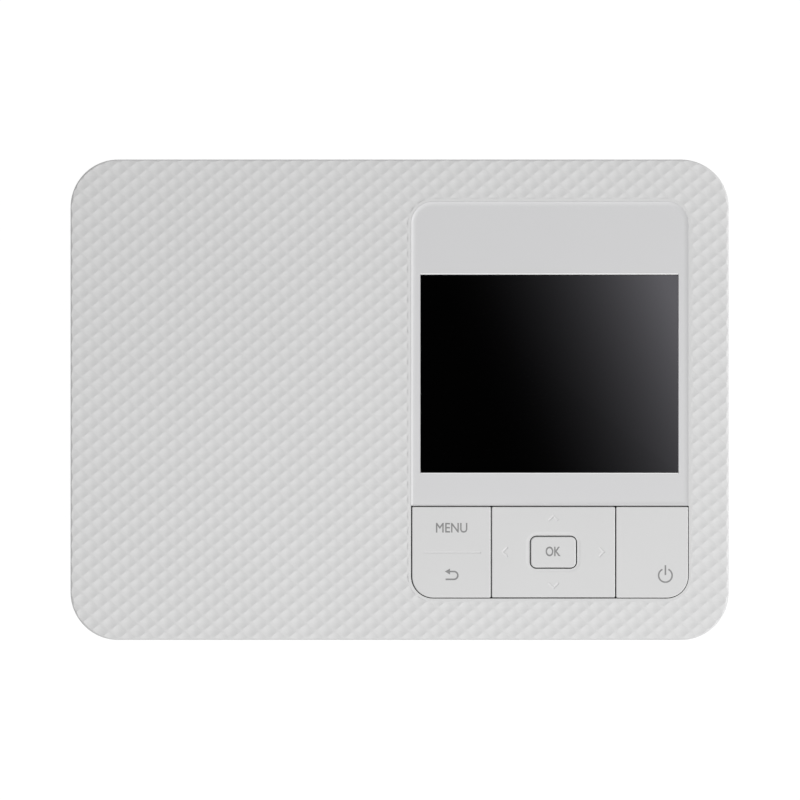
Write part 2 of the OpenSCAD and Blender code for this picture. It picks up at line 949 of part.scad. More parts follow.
module supply_spool() {
    color([0.75, 0.2, 0.45])
        spool(supply_y, supply_r);
}

module takeup_spool() {
    color([0.2, 0.2, 0.22])
        difference() {
            spool(takeup_y, takeup_r);
            dog(4.7, 1.5, lobe_x0 - 2, lobe_x0 + 0.6);
        }
}

// ---- Print head ----

// Finned heat sink with the side brackets and guide pins
module head_heatsink() {
    color("lightgray") {
        bar([head_x0, 3, head_z + 2.7], [head_x1, 23, head_z + 6]);
        for (y = [3, 7.7, 12.4, 17.1, 21.8])
            bar([head_x0, y, head_z + 5], [head_x1, y + 1.2, 50]);
        for (x = [[left_x + plate_t + 0.5, head_x0 + 2], [head_x1 - 2, right_x - 0.5]])
            bar([x[0], 5, 43], [x[1], 21, 48]);
        for (y = [platen_y - 5, platen_y + 5]) {
            rod_x(1.5, left_x - 0.6, head_x0, y, head_pin_z);
            rod_x(1.5, head_x1, right_x + plate_t + 0.6, y, head_pin_z);
        }
    }
}

// Ceramic strip with the heating line along its underside
module thermal_head() {
    color("ivory") {
        bar([head_x0, 7, head_z + 0.5], [head_x1, 19, head_z + 2.7]);
        rod_x(1.2, head_x0 + 1, head_x1 - 1, platen_y, head_z + 1.2);
    }
}

// Lever that lets go of the cassette
module eject_lever() {
    x = right_x + plate_t + 0.8;
    color("royalblue")
        difference() {
            union() {
                rod_x(4, x, x + 4, -26, 24);
                bar([x, -28, 24], [x + 4, -24.6, 43]);
                bar([x, -28, 41], [x + 14, -24.6, 44]);
            }
            rod_x(1.5 + run, x - 1, x + 5, -26, 24);
        }
}

// ---- Doors ----

// Drop-down door of the paper bay
module front_door() {
    x0 = front_door_x - front_door_w / 2;
    x1 = front_door_x + front_door_w / 2;
    color("whitesmoke")
        difference() {
            union() {
                bar([x0, -shell_y, front_axis_z - 1.2],
                    [x1, -shell_y + door_t, front_door_top]);
                rod_x(1.3, x0, x1, front_axis_y, front_axis_z);
                for (x = [x0 + 6, x1 - 8])
                    bar([x, -shell_y + 1, front_axis_z], [x + 2, -shell_y + 4, front_door_top - 3]);
            }
            for (x = [x0 - 1, x1 - 4])
                rod_x(pin_r + run, x, x + 5, front_axis_y, front_axis_z);
            // finger recess at the top edge
            bar([front_door_x - 11, -shell_y - 1, front_door_top - 2.2],
                [front_door_x + 11, -shell_y + 1, front_door_top + 1]);
        }
}

// Drop-down door of the ink cassette
module ink_door() {
    y0 = ink_door_y - ink_door_w / 2;
    y1 = ink_door_y + ink_door_w / 2;
    color("whitesmoke")
        difference() {
            union() {
                bar([shell_x - door_t, y0, ink_axis_z - 1.2], [shell_x, y1, ink_door_top]);
                rod_y(1.2, ink_axis_x, y0, y1, ink_axis_z);
                for (y = [y0 + 2.5, y1 - 4.5])
                    bar([shell_x - 4, y, ink_axis_z + 4], [shell_x - 1, y + 2, ink_door_top - 3]);
            }
            for (y = [y0 - 1, y1 - 4])
                rod_y(pin_r + run, ink_axis_x, y, y + 5, ink_axis_z);
            // finger recess at the top edge
            bar([shell_x - 1, ink_door_y - 10, ink_door_top - 2.2],
                [shell_x + 1, ink_door_y + 10, ink_door_top + 1]);
        }
}

// Steel pins at both ends of both doors
module hinge_pins() {
    color("silver")
        for (end = [-1, 1]) {
            x = front_door_x + end * front_door_w / 2;
            y = ink_door_y + end * ink_door_w / 2;
            rod_x(pin_r, x - 2.8, x + 2.8, front_axis_y, front_axis_z);
            rod_y(pin_r, ink_axis_x, y - 2.8, y + 2.8, ink_axis_z);
        }
}

// ---- Electronics ----

module main_board() {
    color("darkgreen")
        bar([-84, -51, main_board_z], [-6, 52, main_board_z + 1.6]);
}

// Chips, capacitors and sockets on the main board, as [x, y, width, depth, height]
module board_components() {
    z = main_board_z + 1.6;
    chips = [
        [-40, 4, 15, 15, 1.3], [-40, -16, 11, 8, 1.1], [-18, 6, 10, 10, 1.2],
        [-66, 20, 7, 7, 0.9], [-62, -20, 9, 6, 1], [-12, -30, 6, 18, 2.4],
        [-72, 42, 14, 5, 2.4], [-24, 36, 16, 5, 2.4]];
    cans = [[-76, 4], [-76, 12], [-56, 38], [-20, -24]];
    color([0.12, 0.12, 0.13]) {
        for (c = chips)
            bar([c[0] - c[2] / 2, c[1] - c[3] / 2, z], [c[0] + c[2] / 2, c[1] + c[3] / 2, z + c[4]]);
        for (c = cans)
            rod_z(2.5, c[0], c[1], z, z + 2.4);
    }
}

// Memory card socket under the main board, open to the left
module card_connector() {
    color("silver")
        difference() {
            bar([-86.5, -33, main_board_z - 3.8], [-62, -5, main_board_z]);
            bar([-87, -31, main_board_z - 3], [-64, -7, main_board_z - 0.6]);
        }
}

// Radio board with its screening can, on the right side plate
module wireless_module() {
    x = right_x + plate_t;
    color("silver") {
        bar([x + 1.8, -54, 26], [x + 2.6, -36, 44]);
        bar([x + 2.5, -51, 29], [x + 4.4, -39, 40]);
        for (y = [-52, -38], z = [28, 42])
            rod_x(1.2, x, x + 1.9, y, z);
    }
}

// Upright board behind the rear connectors
module io_board() {
    color("darkgreen")
        bar([io_x - 6.5, io_y - 1.6, 12], [io_x + 5.5, io_y, 42]);
}

// Power socket: a round shell with a centre pin
module dc_jack() {
    back = shell_y - 0.4;
    color("black")
        difference() {
            union() {
                bar([io_x - 4.5, io_y, jack_z - 5.5], [io_x + 4.5, shell_y - wall - 0.2, jack_z + 4.5]);
                rod_y(4, io_x, io_y, back, jack_z);
            }
            rod_y(2.9, io_x, io_y + 1.5, body_d, jack_z);
        }
    color("silver")
        rod_y(jack_pin_r, io_x, io_y + 1, back - 0.8, jack_z);
}

// Flat oval data socket with its tongue
module usb_connector() {
    back = shell_y - 0.6;
    color("silver") {
        difference() {
            hull_free_oval(4.5, 1.65, io_y, back);
            hull_free_oval(4.15, 1.3, io_y + 1.2, body_d);
        }
        bar([io_x - 3.3, io_y + 1, usb_z - 0.35], [io_x + 3.3, back - 1, usb_z + 0.35]);
    }
}

// A flat oval bar along Y: half width a, half height b
module hull_free_oval(a, b, y0, y1) {
    bar([io_x - a + b, y0, usb_z - b], [io_x + a - b, y1, usb_z + b]);
    for (side = [-1, 1])
        rod_y(b, io_x + side * (a - b), y0, y1, usb_z);
}

// Square fan frame with a four-arm spider
module fan_housing() {
    half = fan_w / 2;
    color([0.15, 0.15, 0.16]) {
        difference() {
            bar([fan_x, fan_y - half, fan_z - half], [fan_x + 7, fan_y + half, fan_z + half]);
            rod_x(half - 1.2, fan_x - 1, fan_x + 8, fan_y, fan_z);
            for (y = [-1, 1], z = [-1, 1])
                rod_x(1.1, fan_x - 1, fan_x + 8, fan_y + y * (half - 2), fan_z + z * (half - 2));
        }
        difference() {
            union() {
                rod_x(4.5, fan_x + 6, fan_x + 7, fan_y, fan_z);
                for (turn = [0:90:270])
                    translate([fan_x + 6, fan_y, fan_z])
                        rotate([turn, 0, 0])
                            bar([0, -0.7, 0], [1, 0.7, half - 1]);
            }
            rod_x(0.8 + run, fan_x + 5, fan_x + 8, fan_y, fan_z);
        }
    }
}

// Seven-blade rotor
module fan_rotor() {
    color([0.15, 0.15, 0.16]) {
        rod_x(4.5, fan_x + 1, fan_x + 5.5, fan_y, fan_z);
        rod_x(0.8, fan_x + 5, fan_x + 6.8, fan_y, fan_z);
        for (k = [0:6])
            translate([fan_x + 3.2, fan_y, fan_z])
                rotate([k * 360 / 7, 0, 0])
                    rotate([0, 0, 35])
                        bar([-0.35, -2.6, 4], [0.35, 2.6, 10.2]);
    }
}

// Flat cable from the main board to the screen
module display_flex() {
    z = main_board_z + 1.6;
    path = [[-12, z], [-5, z], [3, cover_under - 4.2], [9, cover_under - 4.2]];
    color("orange")
        translate([0, 12, 0])
            rotate([90, 0, 0])
                linear_extrude(12)
                    polygon(concat(path, [for (i = [3:-1:0]) path[i] + [0, 0.2]]));
}

base_shell();
body_shell();
top_cover();
display_panel();
screen_glass();
lcd_module();
menu_key();
nav_pad();
nav_gimbal();
ok_key();
power_key();
key_frame();
key_board();
key_switches();
rubber_feet();
case_screws();
chassis_left();
chassis_right();
chassis_base();
chassis_stays();
chassis_screws();
roller_bushes();
paper_guide();
platen_shaft();
platen_roller();
platen_gear();
feed_idler();
feed_pinion();
feed_motor();
gear_bracket();
capstan_roller();
capstan_gear();
pinch_roller();
pickup_arm();
pickup_roller();
ribbon_motor();
ribbon_pinion();
ribbon_gear();
cassette_shell();
ink_ribbon();
supply_spool();
takeup_spool();
head_heatsink();
thermal_head();
eject_lever();
front_door();
ink_door();
hinge_pins();
main_board();
board_components();
card_connector();
wireless_module();
io_board();
dc_jack();
usb_connector();
fan_housing();
fan_rotor();
display_flex();
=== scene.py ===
"""Compact photo printer: the looks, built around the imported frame.

Sizes are in millimetres and turn to metres through MM. +X is the printer's right,
+Y its back and +Z up, with the origin under its middle.
"""
import json
import math

import bmesh
import bpy
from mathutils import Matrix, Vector


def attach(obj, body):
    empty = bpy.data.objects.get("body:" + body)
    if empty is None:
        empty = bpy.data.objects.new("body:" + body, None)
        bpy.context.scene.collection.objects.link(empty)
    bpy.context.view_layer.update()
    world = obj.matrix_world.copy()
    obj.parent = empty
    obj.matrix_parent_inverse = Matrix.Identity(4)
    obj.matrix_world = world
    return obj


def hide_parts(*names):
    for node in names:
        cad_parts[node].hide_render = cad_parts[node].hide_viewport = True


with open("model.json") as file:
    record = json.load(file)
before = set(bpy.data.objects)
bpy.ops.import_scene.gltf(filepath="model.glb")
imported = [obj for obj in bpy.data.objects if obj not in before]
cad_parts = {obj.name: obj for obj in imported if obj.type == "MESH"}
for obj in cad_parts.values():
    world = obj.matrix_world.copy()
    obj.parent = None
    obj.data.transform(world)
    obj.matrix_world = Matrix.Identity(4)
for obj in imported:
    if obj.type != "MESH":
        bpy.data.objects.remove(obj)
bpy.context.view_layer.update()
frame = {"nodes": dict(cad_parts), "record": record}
bpy.ops.object.select_all(action="DESELECT")

# ---- Camera ----
# The photograph looks straight down with a long lens. Its 800 pixels span 221.3 mm
# at the height of the top face, and the printer sits about 0.1 mm off the middle.
MM = 0.001
TOP = 57.6
PHOTO_SPAN = 221.3
CAMERA_X, CAMERA_Y = 0.10, -0.07
CAMERA_RISE, SENSOR, FAR_CLIP = 1200, 36, 30
bpy.ops.object.camera_add(location=(CAMERA_X * MM, CAMERA_Y * MM, (TOP + CAMERA_RISE) * MM),
                          rotation=(0, 0, 0))
camera = bpy.context.object
camera.data.sensor_width = SENSOR
camera.data.lens = SENSOR * CAMERA_RISE / PHOTO_SPAN
camera.data.clip_end = FAR_CLIP
bpy.context.scene.camera = camera
bpy.context.scene.view_settings.view_transform = "Standard"


# ---- Studio ----
# A white sweep under the printer, a large soft lamp at its right, a small one at its
# front, and a pale surround. A dark patch overhead and a graded card give the screen
# its sheen.
def colour(code):
    """The linear colour, with alpha, of an sRGB hex code."""
    parts = [int(code[i:i + 2], 16) / 255 for i in (1, 3, 5)]
    return [c / 12.92 if c <= 0.04045 else ((c + 0.055) / 1.055) ** 2.4 for c in parts] + [1]


def feed(tree, fed, inputs):
    """Sets or links the inputs of a node."""
    for name, value in dict(inputs).items():
        if isinstance(value, bpy.types.NodeSocket):
            tree.links.new(value, fed.inputs[name])
        else:
            fed.inputs[name].default_value = value


def node(tree, kind, fields=(), inputs=()):
    """Adds a node, sets its own fields, and feeds its inputs."""
    made = tree.nodes.new(kind)
    for field, value in dict(fields).items():
        setattr(made, field, value)
    feed(tree, made, inputs)
    return made


def bare_tree(owner):
    """The emptied node tree of a material or a world."""
    owner.use_nodes = True
    owner.node_tree.nodes.clear()
    return owner.node_tree


def seen_directly(tree):
    """1 for camera, glossy and transmission rays, and 0 for the rays that light things."""
    path = node(tree, "ShaderNodeLightPath")
    glossy = node(tree, "ShaderNodeMath", {"operation": "MAXIMUM"},
                  {0: path.outputs["Is Camera Ray"], 1: path.outputs["Is Glossy Ray"]})
    return node(tree, "ShaderNodeMath", {"operation": "MAXIMUM"},
                {0: glossy.outputs[0], 1: path.outputs["Is Transmission Ray"]}).outputs[0]


FLOOR_SIZE, FLOOR_GAP = 12, 0.2
FLOOR_GLOW, PAPER_SHARE = 1.08, 0.1
bpy.ops.mesh.primitive_plane_add(size=FLOOR_SIZE, location=(0, 0, -FLOOR_GAP * MM))
floor = bpy.context.object
floor.name = "floor"
# matt white paper: it takes the printer's shadow, and most of what is seen is its glow
white_paper = bpy.data.materials.new("white_paper_sweep")
tree = bare_tree(white_paper)
lit = node(tree, "ShaderNodeBsdfDiffuse", inputs={"Color": colour("#E6E6E6")})
glow = node(tree, "ShaderNodeEmission", inputs={"Strength": FLOOR_GLOW})
white = node(tree, "ShaderNodeMixShader",
             inputs={0: 1 - PAPER_SHARE, 1: lit.outputs[0], 2: glow.outputs[0]})
show = node(tree, "ShaderNodeMixShader",
            inputs={0: seen_directly(tree), 1: lit.outputs[0], 2: white.outputs[0]})
node(tree, "ShaderNodeOutputMaterial", inputs={"Surface": show.outputs[0]})
# the glow lights nothing, and sampled as a lamp it would only add noise
white_paper.cycles.emission_sampling = "NONE"
floor.data.materials.append(white_paper)

WHITE = [1, 1, 1, 1]
AMBIENT = 0.3755
PATCH_EDGE, PATCH_CORE = 0.86, 0.985
world = bpy.data.worlds.new("studio")
bpy.context.scene.world = world
tree = bare_tree(world)
ambient = node(tree, "ShaderNodeBackground", inputs={"Color": WHITE, "Strength": AMBIENT})
direction = node(tree, "ShaderNodeTexCoord")
height = node(tree, "ShaderNodeSeparateXYZ", inputs={0: direction.outputs["Generated"]})
# white all round, and black within the patch overhead
surround = node(tree, "ShaderNodeMapRange", {"interpolation_type": "SMOOTHSTEP"},
                {"Value": height.outputs["Z"], "From Min": PATCH_EDGE, "From Max": PATCH_CORE,
                 "To Min": 1.0, "To Max": 0.0})
shown = node(tree, "ShaderNodeBackground",
             inputs={"Color": WHITE, "Strength": surround.outputs[0]})
both = node(tree, "ShaderNodeMixShader",
            inputs={0: seen_directly(tree), 1: ambient.outputs[0], 2: shown.outputs[0]})
node(tree, "ShaderNodeOutputWorld", inputs={"Surface": both.outputs[0]})


def softbox(azimuth, elevation, distance, size, power):
    """A square soft lamp aimed at the printer: degrees, metres and watts."""
    a, e = math.radians(azimuth), math.radians(elevation)
    reach = Vector((math.cos(a) * math.cos(e), math.sin(a) * math.cos(e), math.sin(e)))
    bpy.ops.object.light_add(type="AREA", location=reach * distance,
                             rotation=reach.to_track_quat("Z", "Y").to_euler())
    lamp = bpy.context.object
    lamp.data.size = size
    lamp.data.energy = power


def bake_place():
    """Puts the object's place, turn and size in its mesh."""
    bpy.ops.object.transform_apply(location=True, rotation=True, scale=True)


softbox(azimuth=-4, elevation=40, distance=2.0, size=0.7, power=21.4)
softbox(azimuth=-88, elevation=62, distance=0.56, size=0.3, power=0.647)

# The card hangs above the camera, and is only as large as the screen's mirror image of
# it. Its brightness rises to the right and the back. Its sizes are in metres.
CARD_W, CARD_D, CARD_Y, CARD_RISE = 0.26, 0.22, 0.02, 2.0
CARD_START, CARD_RAMP, CARD_SLANT = 0.0432, 0.184, 0.39
CARD_CURVE, CARD_PEAK = 2.35, 3.0
bpy.ops.mesh.primitive_plane_add(size=1, location=(CARD_START + CARD_RAMP / 2, CARD_Y, CARD_RISE))
card = bpy.context.object
card.name = "graded_card"
card.scale = (CARD_W, CARD_D, 1)
bake_place()
card.visible_diffuse = False
card.visible_shadow = False
card.visible_camera = False
# a translucent card lit from behind: clear at its dark end and bluish white at the other
graded = bpy.data.materials.new("graded_card")
tree = bare_tree(graded)
place = node(tree, "ShaderNodeSeparateXYZ",
             inputs={0: node(tree, "ShaderNodeTexCoord").outputs["Object"]})
slant = node(tree, "ShaderNodeMath", {"operation": "MULTIPLY_ADD"},
             {0: place.outputs["Y"], 1: CARD_SLANT, 2: place.outputs["X"]})
ramp = node(tree, "ShaderNodeMapRange", inputs={
    "Value": slant.outputs[0], "From Min": CARD_START, "From Max": CARD_START + CARD_RAMP})
curved = node(tree, "ShaderNodeMath", {"operation": "POWER"},
              {0: ramp.outputs[0], 1: CARD_CURVE})
bright = node(tree, "ShaderNodeMath", {"operation": "MULTIPLY"},
              {0: curved.outputs[0], 1: CARD_PEAK})
light = node(tree, "ShaderNodeEmission",
             inputs={"Color": colour("#F7F5FF"), "Strength": bright.outputs[0]})
clear = node(tree, "ShaderNodeBsdfTransparent")
over = node(tree, "ShaderNodeMixShader",
            inputs={0: ramp.outputs[0], 1: clear.outputs[0], 2: light.outputs[0]})
node(tree, "ShaderNodeOutputMaterial", inputs={"Surface": over.outputs[0]})
# like the paper, the card shows only as itself
graded.cycles.emission_sampling = "NONE"
card.data.materials.append(graded)


# ---- Top cover ----
# The lid: one moulding of light grey ABS, screwed from below. Its face is a net of
# rhombic dimples with crisp ridges, which runs over the outer rim and stops at a
# narrow lip that slopes down to the island with the screen and the keys.
NEAR = 0.01  # how near a point has to be to count as on a face
STRAIGHT = 0.9  # the least share of its length that a line has along its axis
MERGE = 0.001  # points closer than this become one
SHARP = math.radians(50)  # the least turn from face to face at a sharp edge
PAST = 1.0  # how far a cutting tool runs past the face that it cuts


def take(piece):
    """Selects one piece, alone."""
    bpy.ops.object.select_all(action="DESELECT")
    bpy.context.view_layer.objects.active = piece
    piece.select_set(True)


def edit(piece):
    """Opens one piece in edit mode, alone."""
    take(piece)
    bpy.ops.object.mode_set(mode="EDIT")


def close():
    """Back to object mode."""
    bpy.ops.object.mode_set(mode="OBJECT")


def pick_all():
    """In edit mode, selects the whole piece."""
    bpy.ops.mesh.select_all(action="SELECT")


def pick_edges(piece, test, turn=-1.0):
    """In edit mode, selects the edges whose middle and run, in millimetres, pass a test,
    and where one face turns from the next by more than turn."""
    bpy.ops.mesh.select_mode(type="EDGE")
    bpy.ops.mesh.select_all(action="DESELECT")
    mesh = bmesh.from_edit_mesh(piece.data)
    for edge in mesh.edges:
        a, b = edge.verts[0].co / MM, edge.verts[1].co / MM
        edge.select = test((a + b) / 2, b - a) and edge.calc_face_angle(0) > turn
    mesh.select_flush_mode()
    bmesh.update_edit_mesh(piece.data)


def pick_faces(piece, test):
    """In edit mode, selects the faces whose middle, in millimetres, and normal pass a test."""
    bpy.ops.mesh.select_mode(type="FACE")
    bpy.ops.mesh.select_all(action="DESELECT")
    mesh = bmesh.from_edit_mesh(piece.data)
    for face in mesh.faces:
        face.select = test(face.calc_center_median() / MM, face.normal)
    mesh.select_flush_mode()
    bmesh.update_edit_mesh(piece.data)


def block(name, low, high):
    """A box with its corners at low and high."""
    size = [(b - a) * MM for a, b in zip(low, high)]
    middle = [(a + b) / 2 * MM for a, b in zip(low, high)]
    bpy.ops.mesh.primitive_cube_add(size=1, location=middle, scale=size)
    bake_place()
    piece = bpy.context.object
    piece.name = name
    return piece


def soften(piece, radius, segments, test, sharp=False):
    """Rounds the edges that pass a test, or only the sharp ones among them."""
    edit(piece)
    pick_edges(piece, test, SHARP if sharp else -1.0)
    bpy.ops.mesh.bevel(offset=radius * MM, offset_type="OFFSET", segments=segments,
                       affect="EDGES", clamp_overlap=False)
    close()


def along(axis):
    """A test for edges that run along X (0), Y (1) or Z (2)."""
    return lambda middle, run: abs(run[axis]) > STRAIGHT * run.length


def rounded(name, low, high, radius, segments, axis=2):
    """A box with the edges along one axis rounded."""
    piece = block(name, low, high)
    soften(piece, radius, segments, along(axis))
    return piece


def around(x, y, width, depth, z0, z1):
    """The low and high corners of a box centred on x and y."""
    return (x - width / 2, y - depth / 2, z0), (x + width / 2, y + depth / 2, z1)


def rod(name, radius, low, high, sides=48):
    """A round rod between two points on one axis line."""
    low, high = Vector(low) * MM, Vector(high) * MM
    run = high - low
    bpy.ops.mesh.primitive_cylinder_add(vertices=sides, radius=radius * MM, depth=run.length,
                                        location=(low + high) / 2,
                                        rotation=run.to_track_quat("Z", "Y").to_euler())
    bake_place()
    piece = bpy.context.object
    piece.name = name
    return piece


def post(name, radius, x, y, z0, z1, sides=48):
    """A round rod that stands at x and y."""
    return rod(name, radius, (x, y, z0), (x, y, z1), sides)


def combine(piece, tool, operation):
    """Cuts a tool from a piece, or adds it, and uses the tool up."""
    take(piece)
    change = piece.modifiers.new(operation, "BOOLEAN")
    change.object = tool
    change.operation = operation
    change.solver = "EXACT"
    bpy.ops.object.modifier_apply(modifier=change.name)
    bpy.data.objects.remove(tool)


def cut(piece, *tools):
    """Cuts each tool from the piece."""
    for tool in tools:
        combine(piece, tool, "DIFFERENCE")


def weld(piece, *tools):
    """Adds each tool to the piece."""
    for tool in tools:
        combine(piece, tool, "UNION")


def join(name, pieces):
    """Joins loose pieces into one object."""
    bpy.ops.object.select_all(action="DESELECT")
    for piece in pieces:
        piece.select_set(True)
    bpy.context.view_layer.objects.active = pieces[0]
    bpy.ops.object.join()
    pieces[0].name = name
    return pieces[0]


def crease(piece, x, y, half_w, half_d, depth):
    """Keeps the slopes crisp within a box about x and y, down to depth below the face."""
    edit(piece)
    face = max(corner[2] for corner in piece.bound_box) / MM
    pick_edges(piece, lambda m, r: abs(m.x - x) < half_w and abs(m.y - y) < half_d
               and m.z > face - depth)
    bpy.ops.mesh.mark_sharp()
    close()


def row_of(name, piece, *shifts):
    """The piece, and a copy with its own mesh at each shift from it, joined."""
    pieces = [piece]
    for shift in shifts:
        take(piece)
        bpy.ops.object.duplicate()
        bpy.ops.transform.translate(value=Vector(shift) * MM)
        bake_place()
        pieces.append(bpy.context.object)
    return join(name, pieces)


def at_corners(piece, x, y):
    """The piece, drawn at x and y, and its copies at the other three corners."""
    return row_of(piece.name, piece, (-2 * x, 0, 0), (0, -2 * y, 0), (-2 * x, -2 * y, 0))


def corner_rods(name, radius, x, y, z0, z1, sides):
    """Four upright rods, one at each corner of the case."""
    return at_corners(post(name, radius, x, y, z0, z1, sides), x, y)


def flared(name, x, y, width, depth, radius, run, drop, level):
    """A tool for a sunk floor of width by depth, whose slope reaches level after run."""
    grow = 4 * run
    tool = rounded(name, *around(x, y, width + grow, depth + grow, level - drop, level + drop),
                   radius=radius + 2 * run, segments=12)
    edit(tool)
    pick_faces(tool, lambda m, n: n.z < -STRAIGHT)
    bpy.ops.transform.resize(value=(width / (width + grow), depth / (depth + grow), 1),
                             center_override=(x * MM, y * MM, level * MM))
    close()
    return tool


def clean(piece):
    """Merges doubled points, and drops the slivers and folded faces that a cut can leave."""
    edit(piece)
    pick_all()
    bpy.ops.mesh.remove_doubles(threshold=MERGE * MM)
    bpy.ops.mesh.dissolve_degenerate(threshold=MERGE * MM)
    mesh = bmesh.from_edit_mesh(piece.data)
    sides = {}
    for face in mesh.faces:
        sides.setdefault(frozenset(face.verts), []).append(face)
    folded = [face for pair in sides.values() if len(pair) > 1 for face in pair]
    bmesh.ops.delete(mesh, geom=folded, context="FACES")
    bmesh.update_edit_mesh(piece.data)
    close()


def finish(piece, material, body, slot, *nodes, angle=30):
    """Shades a finished piece, paints it, ties it to its body, and hides the CAD nodes that it
    replaces. Large faces stay flat, and only the roundings between them are smooth."""
    clean(piece)
    take(piece)
    bpy.ops.object.shade_smooth_by_angle(angle=math.radians(angle))
    level = piece.modifiers.new("level", "WEIGHTED_NORMAL")
    level.keep_sharp = True
    bpy.ops.object.modifier_apply(modifier=level.name)
    piece.data.materials.clear()
    piece.data.materials.append(material)
    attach(piece, body)
    if nodes:
        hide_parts(*nodes)


def raw_material(name):
    """A new material, its node tree, its shader, and the point on the piece."""
    material = bpy.data.materials.new(name)
    material.use_nodes = True
    tree = material.node_tree
    place = node(tree, "ShaderNodeTexCoord").outputs["Object"]
    return material, tree, tree.nodes["Principled BSDF"], place


CLOUD = 25.0  # the size of a patch that is a shade lighter or darker
GLOSS_SPREAD = 0.05
NOISE_LOW, NOISE_HIGH = 0.3, 0.7  # the span that the noise keeps to


def moulding(name, code, roughness, grain, relief, tint=0.02, ior=1.54):
    """An injection moulding: an even colour, a slightly uneven gloss, and the fine
    grain of the mould's spark-eroded wall, grain and relief in millimetres."""
    material, tree, shader, place = raw_material(name)
    cloud = node(tree, "ShaderNodeTexNoise",
                 inputs={"Vector": place, "Scale": 1 / (CLOUD * MM), "Detail": 3.0})
    fine = node(tree, "ShaderNodeTexNoise",
                inputs={"Vector": place, "Scale": 1 / (grain * MM), "Detail": 2.0,
                        "Roughness": 0.6})
    base = colour(code)
    low = [c * (1 - tint) for c in base[:3]] + [1]
    high = [min(1, c * (1 + tint)) for c in base[:3]] + [1]
    shade = node(tree, "ShaderNodeMix", {"data_type": "RGBA"},
                 {"Factor": cloud.outputs["Fac"], 6: low, 7: high})
    gloss = node(tree, "ShaderNodeMapRange", inputs={
        "Value": fine.outputs["Fac"], "From Min": NOISE_LOW, "From Max": NOISE_HIGH,
        "To Min": roughness - GLOSS_SPREAD, "To Max": roughness + GLOSS_SPREAD})
    bump = node(tree, "ShaderNodeBump", inputs={
        "Height": fine.outputs["Fac"], "Distance": relief * MM, "Strength": 1.0})
    feed(tree, shader, {"Base Color": shade.outputs[2], "Roughness": gloss.outputs[0],
                        "Normal": bump.outputs[0], "IOR": ior})
    return material


COVER_W, COVER_D, COVER_R = 182.2, 133.0, 13.2
SEAM = 52.0  # the joint between the lid and the middle shell
UNDER = TOP - 2.2  # the underside of the lid's face
WALL = 2.0
RIM, SEAM_EDGE = 0.9, 0.25
ROOT = 0.5  # how far a pillar runs into the wall that carries it
ISLAND_X, ISLAND_Y, ISLAND_W, ISLAND_D, ISLAND_R = 41.56, -0.06, 76.55, 109.6, 6.0
GAP = 0.3
LIP_RUN, LIP_DROP = 1.5, 0.105
MARGIN = 0.8  # the flat strip between the dimples and the lip
CELL_W, CELL_D = 5.185, 4.263
CELL_X, CELL_Y = 0.15, 2.10
DIMPLE = 0.235
CELL_STEPS = 6
RIDGE = TOP - 0.015
PILLAR_X, PILLAR_Y, PILLAR_R, PILLAR_FOOT = 80.0, 56.0, 3.0, 13.0
THREAD_R, THREAD_END = 1.15, 29.0
hole_w, hole_d, hole_r = ISLAND_W + GAP, ISLAND_D + GAP, ISLAND_R + GAP / 2

# one dimple: a square patch sunk in steps to a sine bowl, then pulled to a rhombus
bpy.ops.mesh.primitive_grid_add(x_subdivisions=CELL_STEPS, y_subdivisions=CELL_STEPS, size=1,
                                location=(0.5, 0.5, 0))
bake_place()
cell = bpy.context.object
for vertex in cell.data.vertices:
    u, w = vertex.co.x, vertex.co.y
    bowl = math.sin(math.pi * u) * math.sin(math.pi * w)
    vertex.co = Vector(((u + w) * CELL_W / 2, (u - w) * CELL_D / 2, RIDGE - DIMPLE * bowl)) * MM
# every second dimple lies half a step along and half a step back
bpy.ops.object.duplicate()
neighbour = bpy.context.object
neighbour.location = (CELL_W / 2 * MM, CELL_D / 2 * MM, 0)
bake_place()
relief = join("relief", [cell, neighbour])
columns = math.ceil(COVER_W / CELL_W) + 2
rows = math.ceil(COVER_D / CELL_D) + 2
for count, step in ((columns, (CELL_W * MM, 0, 0)), (rows, (0, CELL_D * MM, 0))):
    repeat = relief.modifiers.new("repeat", "ARRAY")
    repeat.count = count
    repeat.use_relative_offset = False
    repeat.use_constant_offset = True
    repeat.constant_offset_displace = step
    bpy.ops.object.modifier_apply(modifier=repeat.name)
start_x = CELL_X - CELL_W * math.ceil((COVER_W / 2 + CELL_X) / CELL_W)
start_y = CELL_Y - CELL_D * math.ceil((COVER_D / 2 + CELL_Y) / CELL_D)
edit(relief)
pick_all()
bpy.ops.mesh.remove_doubles(threshold=MERGE * MM)
pick_all()
bpy.ops.transform.translate(value=(start_x * MM, start_y * MM, 0))
# the dimples that would fall in the island or outside the lid are left out
inner_w, inner_d = ISLAND_W / 2 - CELL_W, ISLAND_D / 2 - CELL_D
pick_faces(relief, lambda m, n: abs(m.x - ISLAND_X) < inner_w and abs(m.y - ISLAND_Y) < inner_d
           or abs(m.x) > COVER_W / 2 + PAST or abs(m.y) > COVER_D / 2 + PAST)
bpy.ops.mesh.delete(type="FACE")
# the sheet of dimples is closed upwards, so that it cuts the lid's face away
pick_all()
bpy.ops.mesh.quads_convert_to_tris(quad_method="FIXED", ngon_method="BEAUTY")
bpy.ops.mesh.extrude_region_move(TRANSFORM_OT_translate={"value": (0, 0, PAST * MM)})
bpy.ops.transform.resize(value=(1, 1, 0), center_override=(0, 0, (TOP + PAST) * MM))
pick_all()
bpy.ops.mesh.normals_make_consistent(inside=False)
close()
cut(relief, rounded("margin", *around(ISLAND_X, ISLAND_Y, hole_w + 2 * MARGIN,
                                      hole_d + 2 * MARGIN, TOP - 5, TOP + 5),
                    radius=hole_r + MARGIN, segments=12))

